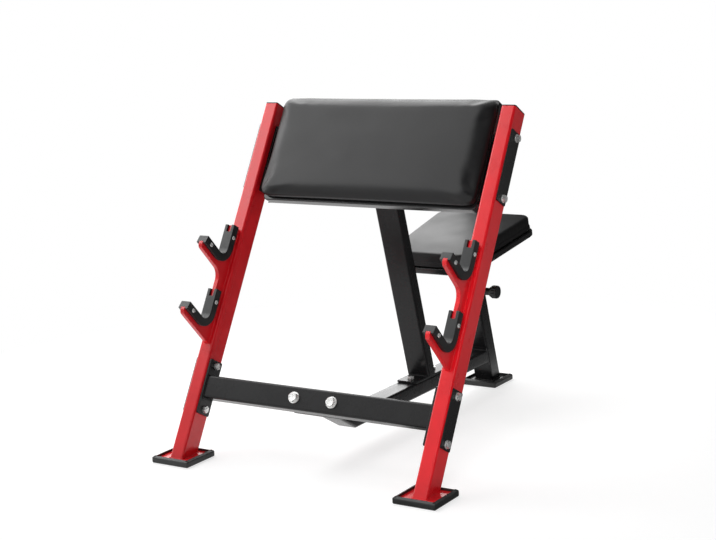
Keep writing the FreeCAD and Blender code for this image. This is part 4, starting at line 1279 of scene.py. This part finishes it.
# Dark cards that keep the right sides of the steel and of the pads deep, and the seat's right side:
# name, size, place, turn in degrees, glow.
DARK_CARDS = [
    ("card_behind", (1.65, 1.1), (0.114, 1.418, 0.56), (90, 0, -33), 0.06),
    ("card_side", (1.35, 1.1), (1.372, 0.60, 0.56), (90, 0, -33), 0.24),
    ("card_seat", (0.9, 0.6), (0.26, 0.72, 0.82), (90, 0, 0), 0.02),
    ("card_right", (4.6, 3.2), (1.6, 0.1, 1.6), (90, 0, 90), 0.0),
    ("card_low", (1.85, 2.1), (1.075, 0.45, 0.003), (0, 0, 0), 0.14),
    ("card_high", (1.7, 1.4), (0.92, -1.4, 2.4), (42, 0, 22), 0.0),
]


class BENCH_OT_stage(BenchOperator, bpy.types.Operator):
    """Pale floor, soft lights, white surroundings and the camera"""

    bl_idname = "curl_bench.stage"
    bl_label = "Studio"

    def execute(self, context):
        scene = context.scene
        studio = scene.curl_bench_studio
        scene.view_settings.view_transform = "Standard"
        self.floor()
        for card in DARK_CARDS:
            self.card(*card)
        for name, place, aim, size in SOFT_LIGHTS:
            light = soft_light(name + "_light", place, aim, size, getattr(studio, name + "_power"))
            if name == "fill":
                light.data.spread = radians(50)
                light.visible_glossy = False
        self.room(studio)
        self.camera(scene, studio)
        return {"FINISHED"}

    def floor(self):
        """Floor that shows the bench's shadow near it and fades to white further out."""
        nothing_chosen()
        bpy.ops.mesh.primitive_grid_add(x_subdivisions=8, y_subdivisions=8, size=9)
        floor = bpy.context.object
        floor.name = "studio_floor"
        paint = Finish("studio_floor")
        grain = paint.noise(3, detail=2)
        colour = tuple(colours().floor)
        tone = paint.tint(scaled(colour, 0.985), colour, grain)
        paint.set(base_color=tone, roughness=0.9)
        near_glow = 0.60
        fade_start, fade_end = 0.7, 1.7
        glow = paint.node("ShaderNodeEmission", inputs={"Color": (1, 1, 1), "Strength": near_glow})
        pale = paint.node("ShaderNodeBsdfDiffuse", inputs={"Color": (0.5, 0.5, 0.5)})
        near = paint.node("ShaderNodeAddShader", inputs={0: pale, 1: glow})
        white = paint.node("ShaderNodeEmission", inputs={"Color": (1, 1, 1), "Strength": 1.0})
        reach = paint.node("ShaderNodeVectorMath", {"operation": "LENGTH"}, {0: paint.place()}, out="Value")
        fade = paint.node("ShaderNodeMapRange", inputs={
            "Value": reach, "From Min": fade_start, "From Max": fade_end})
        paint.seen_as(paint.node("ShaderNodeMixShader", inputs={0: fade, 1: near, 2: white}))
        floor.data.materials.append(paint.material)

    def card(self, name, size, place, turn, glow):
        """A dark card on the right, seen only in reflections."""
        nothing_chosen()
        bpy.ops.mesh.primitive_grid_add(x_subdivisions=4, y_subdivisions=4, size=1, location=place,
                                        rotation=[radians(angle) for angle in turn])
        card = bpy.context.object
        card.name = name
        card.scale = (*size, 1)
        settle(card)
        paint = Finish(name)
        mottle = paint.tint(scaled(tuple(colours().card), 0.8), tuple(colours().card), paint.noise(2))
        paint.set(base_color=mottle, roughness=1.0, specular_ior_level=0.0,
                  emission_color=(1, 1, 1), emission_strength=glow)
        card.data.materials.append(paint.material)
        for ray in ("camera", "diffuse", "transmission", "shadow"):
            setattr(card, "visible_" + ray, False)

    def room(self, studio):
        """Even light that the camera and reflections see as white."""
        light = RoomLight("studio_room")
        light.set(color=(1, 1, 1), strength=studio.sky)
        light.seen_as(light.node("ShaderNodeBackground", inputs={"Color": (1, 1, 1), "Strength": 1.0}))

    def camera(self, scene, studio):
        lens = bpy.data.cameras.new("camera")
        lens.lens = studio.focal_length
        lens.sensor_width = 36
        lens.clip_end = 100
        camera = bpy.data.objects.new("camera", lens)
        scene.collection.objects.link(camera)
        level = cos(studio.dip)
        look = Vector((-sin(studio.azimuth) * level, cos(studio.azimuth) * level, -sin(studio.dip)))
        right = Vector((cos(studio.azimuth), sin(studio.azimuth), 0))
        up = right.cross(look)
        across = right * cos(studio.roll) + up * sin(studio.roll)
        upward = up * cos(studio.roll) - right * sin(studio.roll)
        turn = Matrix((across, upward, -look)).transposed().to_4x4()
        camera.matrix_world = Matrix.Translation(Vector(studio.place)) @ turn
        scene.camera = camera


PIECE_OPERATORS = [
    BENCH_OT_stage, BENCH_OT_red_steel, BENCH_OT_black_steel, BENCH_OT_red_welds, BENCH_OT_black_welds,
    BENCH_OT_feet, BENCH_OT_caps, BENCH_OT_liners, BENCH_OT_post_bolts, BENCH_OT_spine_bolts,
    BENCH_OT_small_bolts, BENCH_OT_hook_screws, BENCH_OT_arm_pad, BENCH_OT_seat_pad, BENCH_OT_pull_pin,
]


class BENCH_PT_sidebar(bpy.types.Panel):
    """Lists the bench's pieces and its studio"""

    bl_idname = "BENCH_PT_sidebar"
    bl_label = "Curl Bench"
    bl_space_type = "VIEW_3D"
    bl_region_type = "UI"
    bl_category = "Curl Bench"

    def draw(self, context):
        for operator in PIECE_OPERATORS:
            self.layout.operator(operator.bl_idname)


GROUPS = [("curl_bench_sizes", BenchSizes), ("curl_bench_colours", BenchColours),
          ("curl_bench_studio", BenchStudio)]


def register():
    for name, group in GROUPS:
        bpy.utils.register_class(group)
        setattr(bpy.types.Scene, name, bpy.props.PointerProperty(type=group))
    for operator in PIECE_OPERATORS:
        bpy.utils.register_class(operator)
    bpy.utils.register_class(BENCH_PT_sidebar)


def unregister():
    bpy.utils.unregister_class(BENCH_PT_sidebar)
    for operator in reversed(PIECE_OPERATORS):
        bpy.utils.unregister_class(operator)
    for name, group in reversed(GROUPS):
        delattr(bpy.types.Scene, name)
        bpy.utils.unregister_class(group)


def main():
    register()
    for operator in PIECE_OPERATORS:
        area, name = operator.bl_idname.split(".")
        getattr(getattr(bpy.ops, area), name)()


if __name__ == "__main__":
    main()
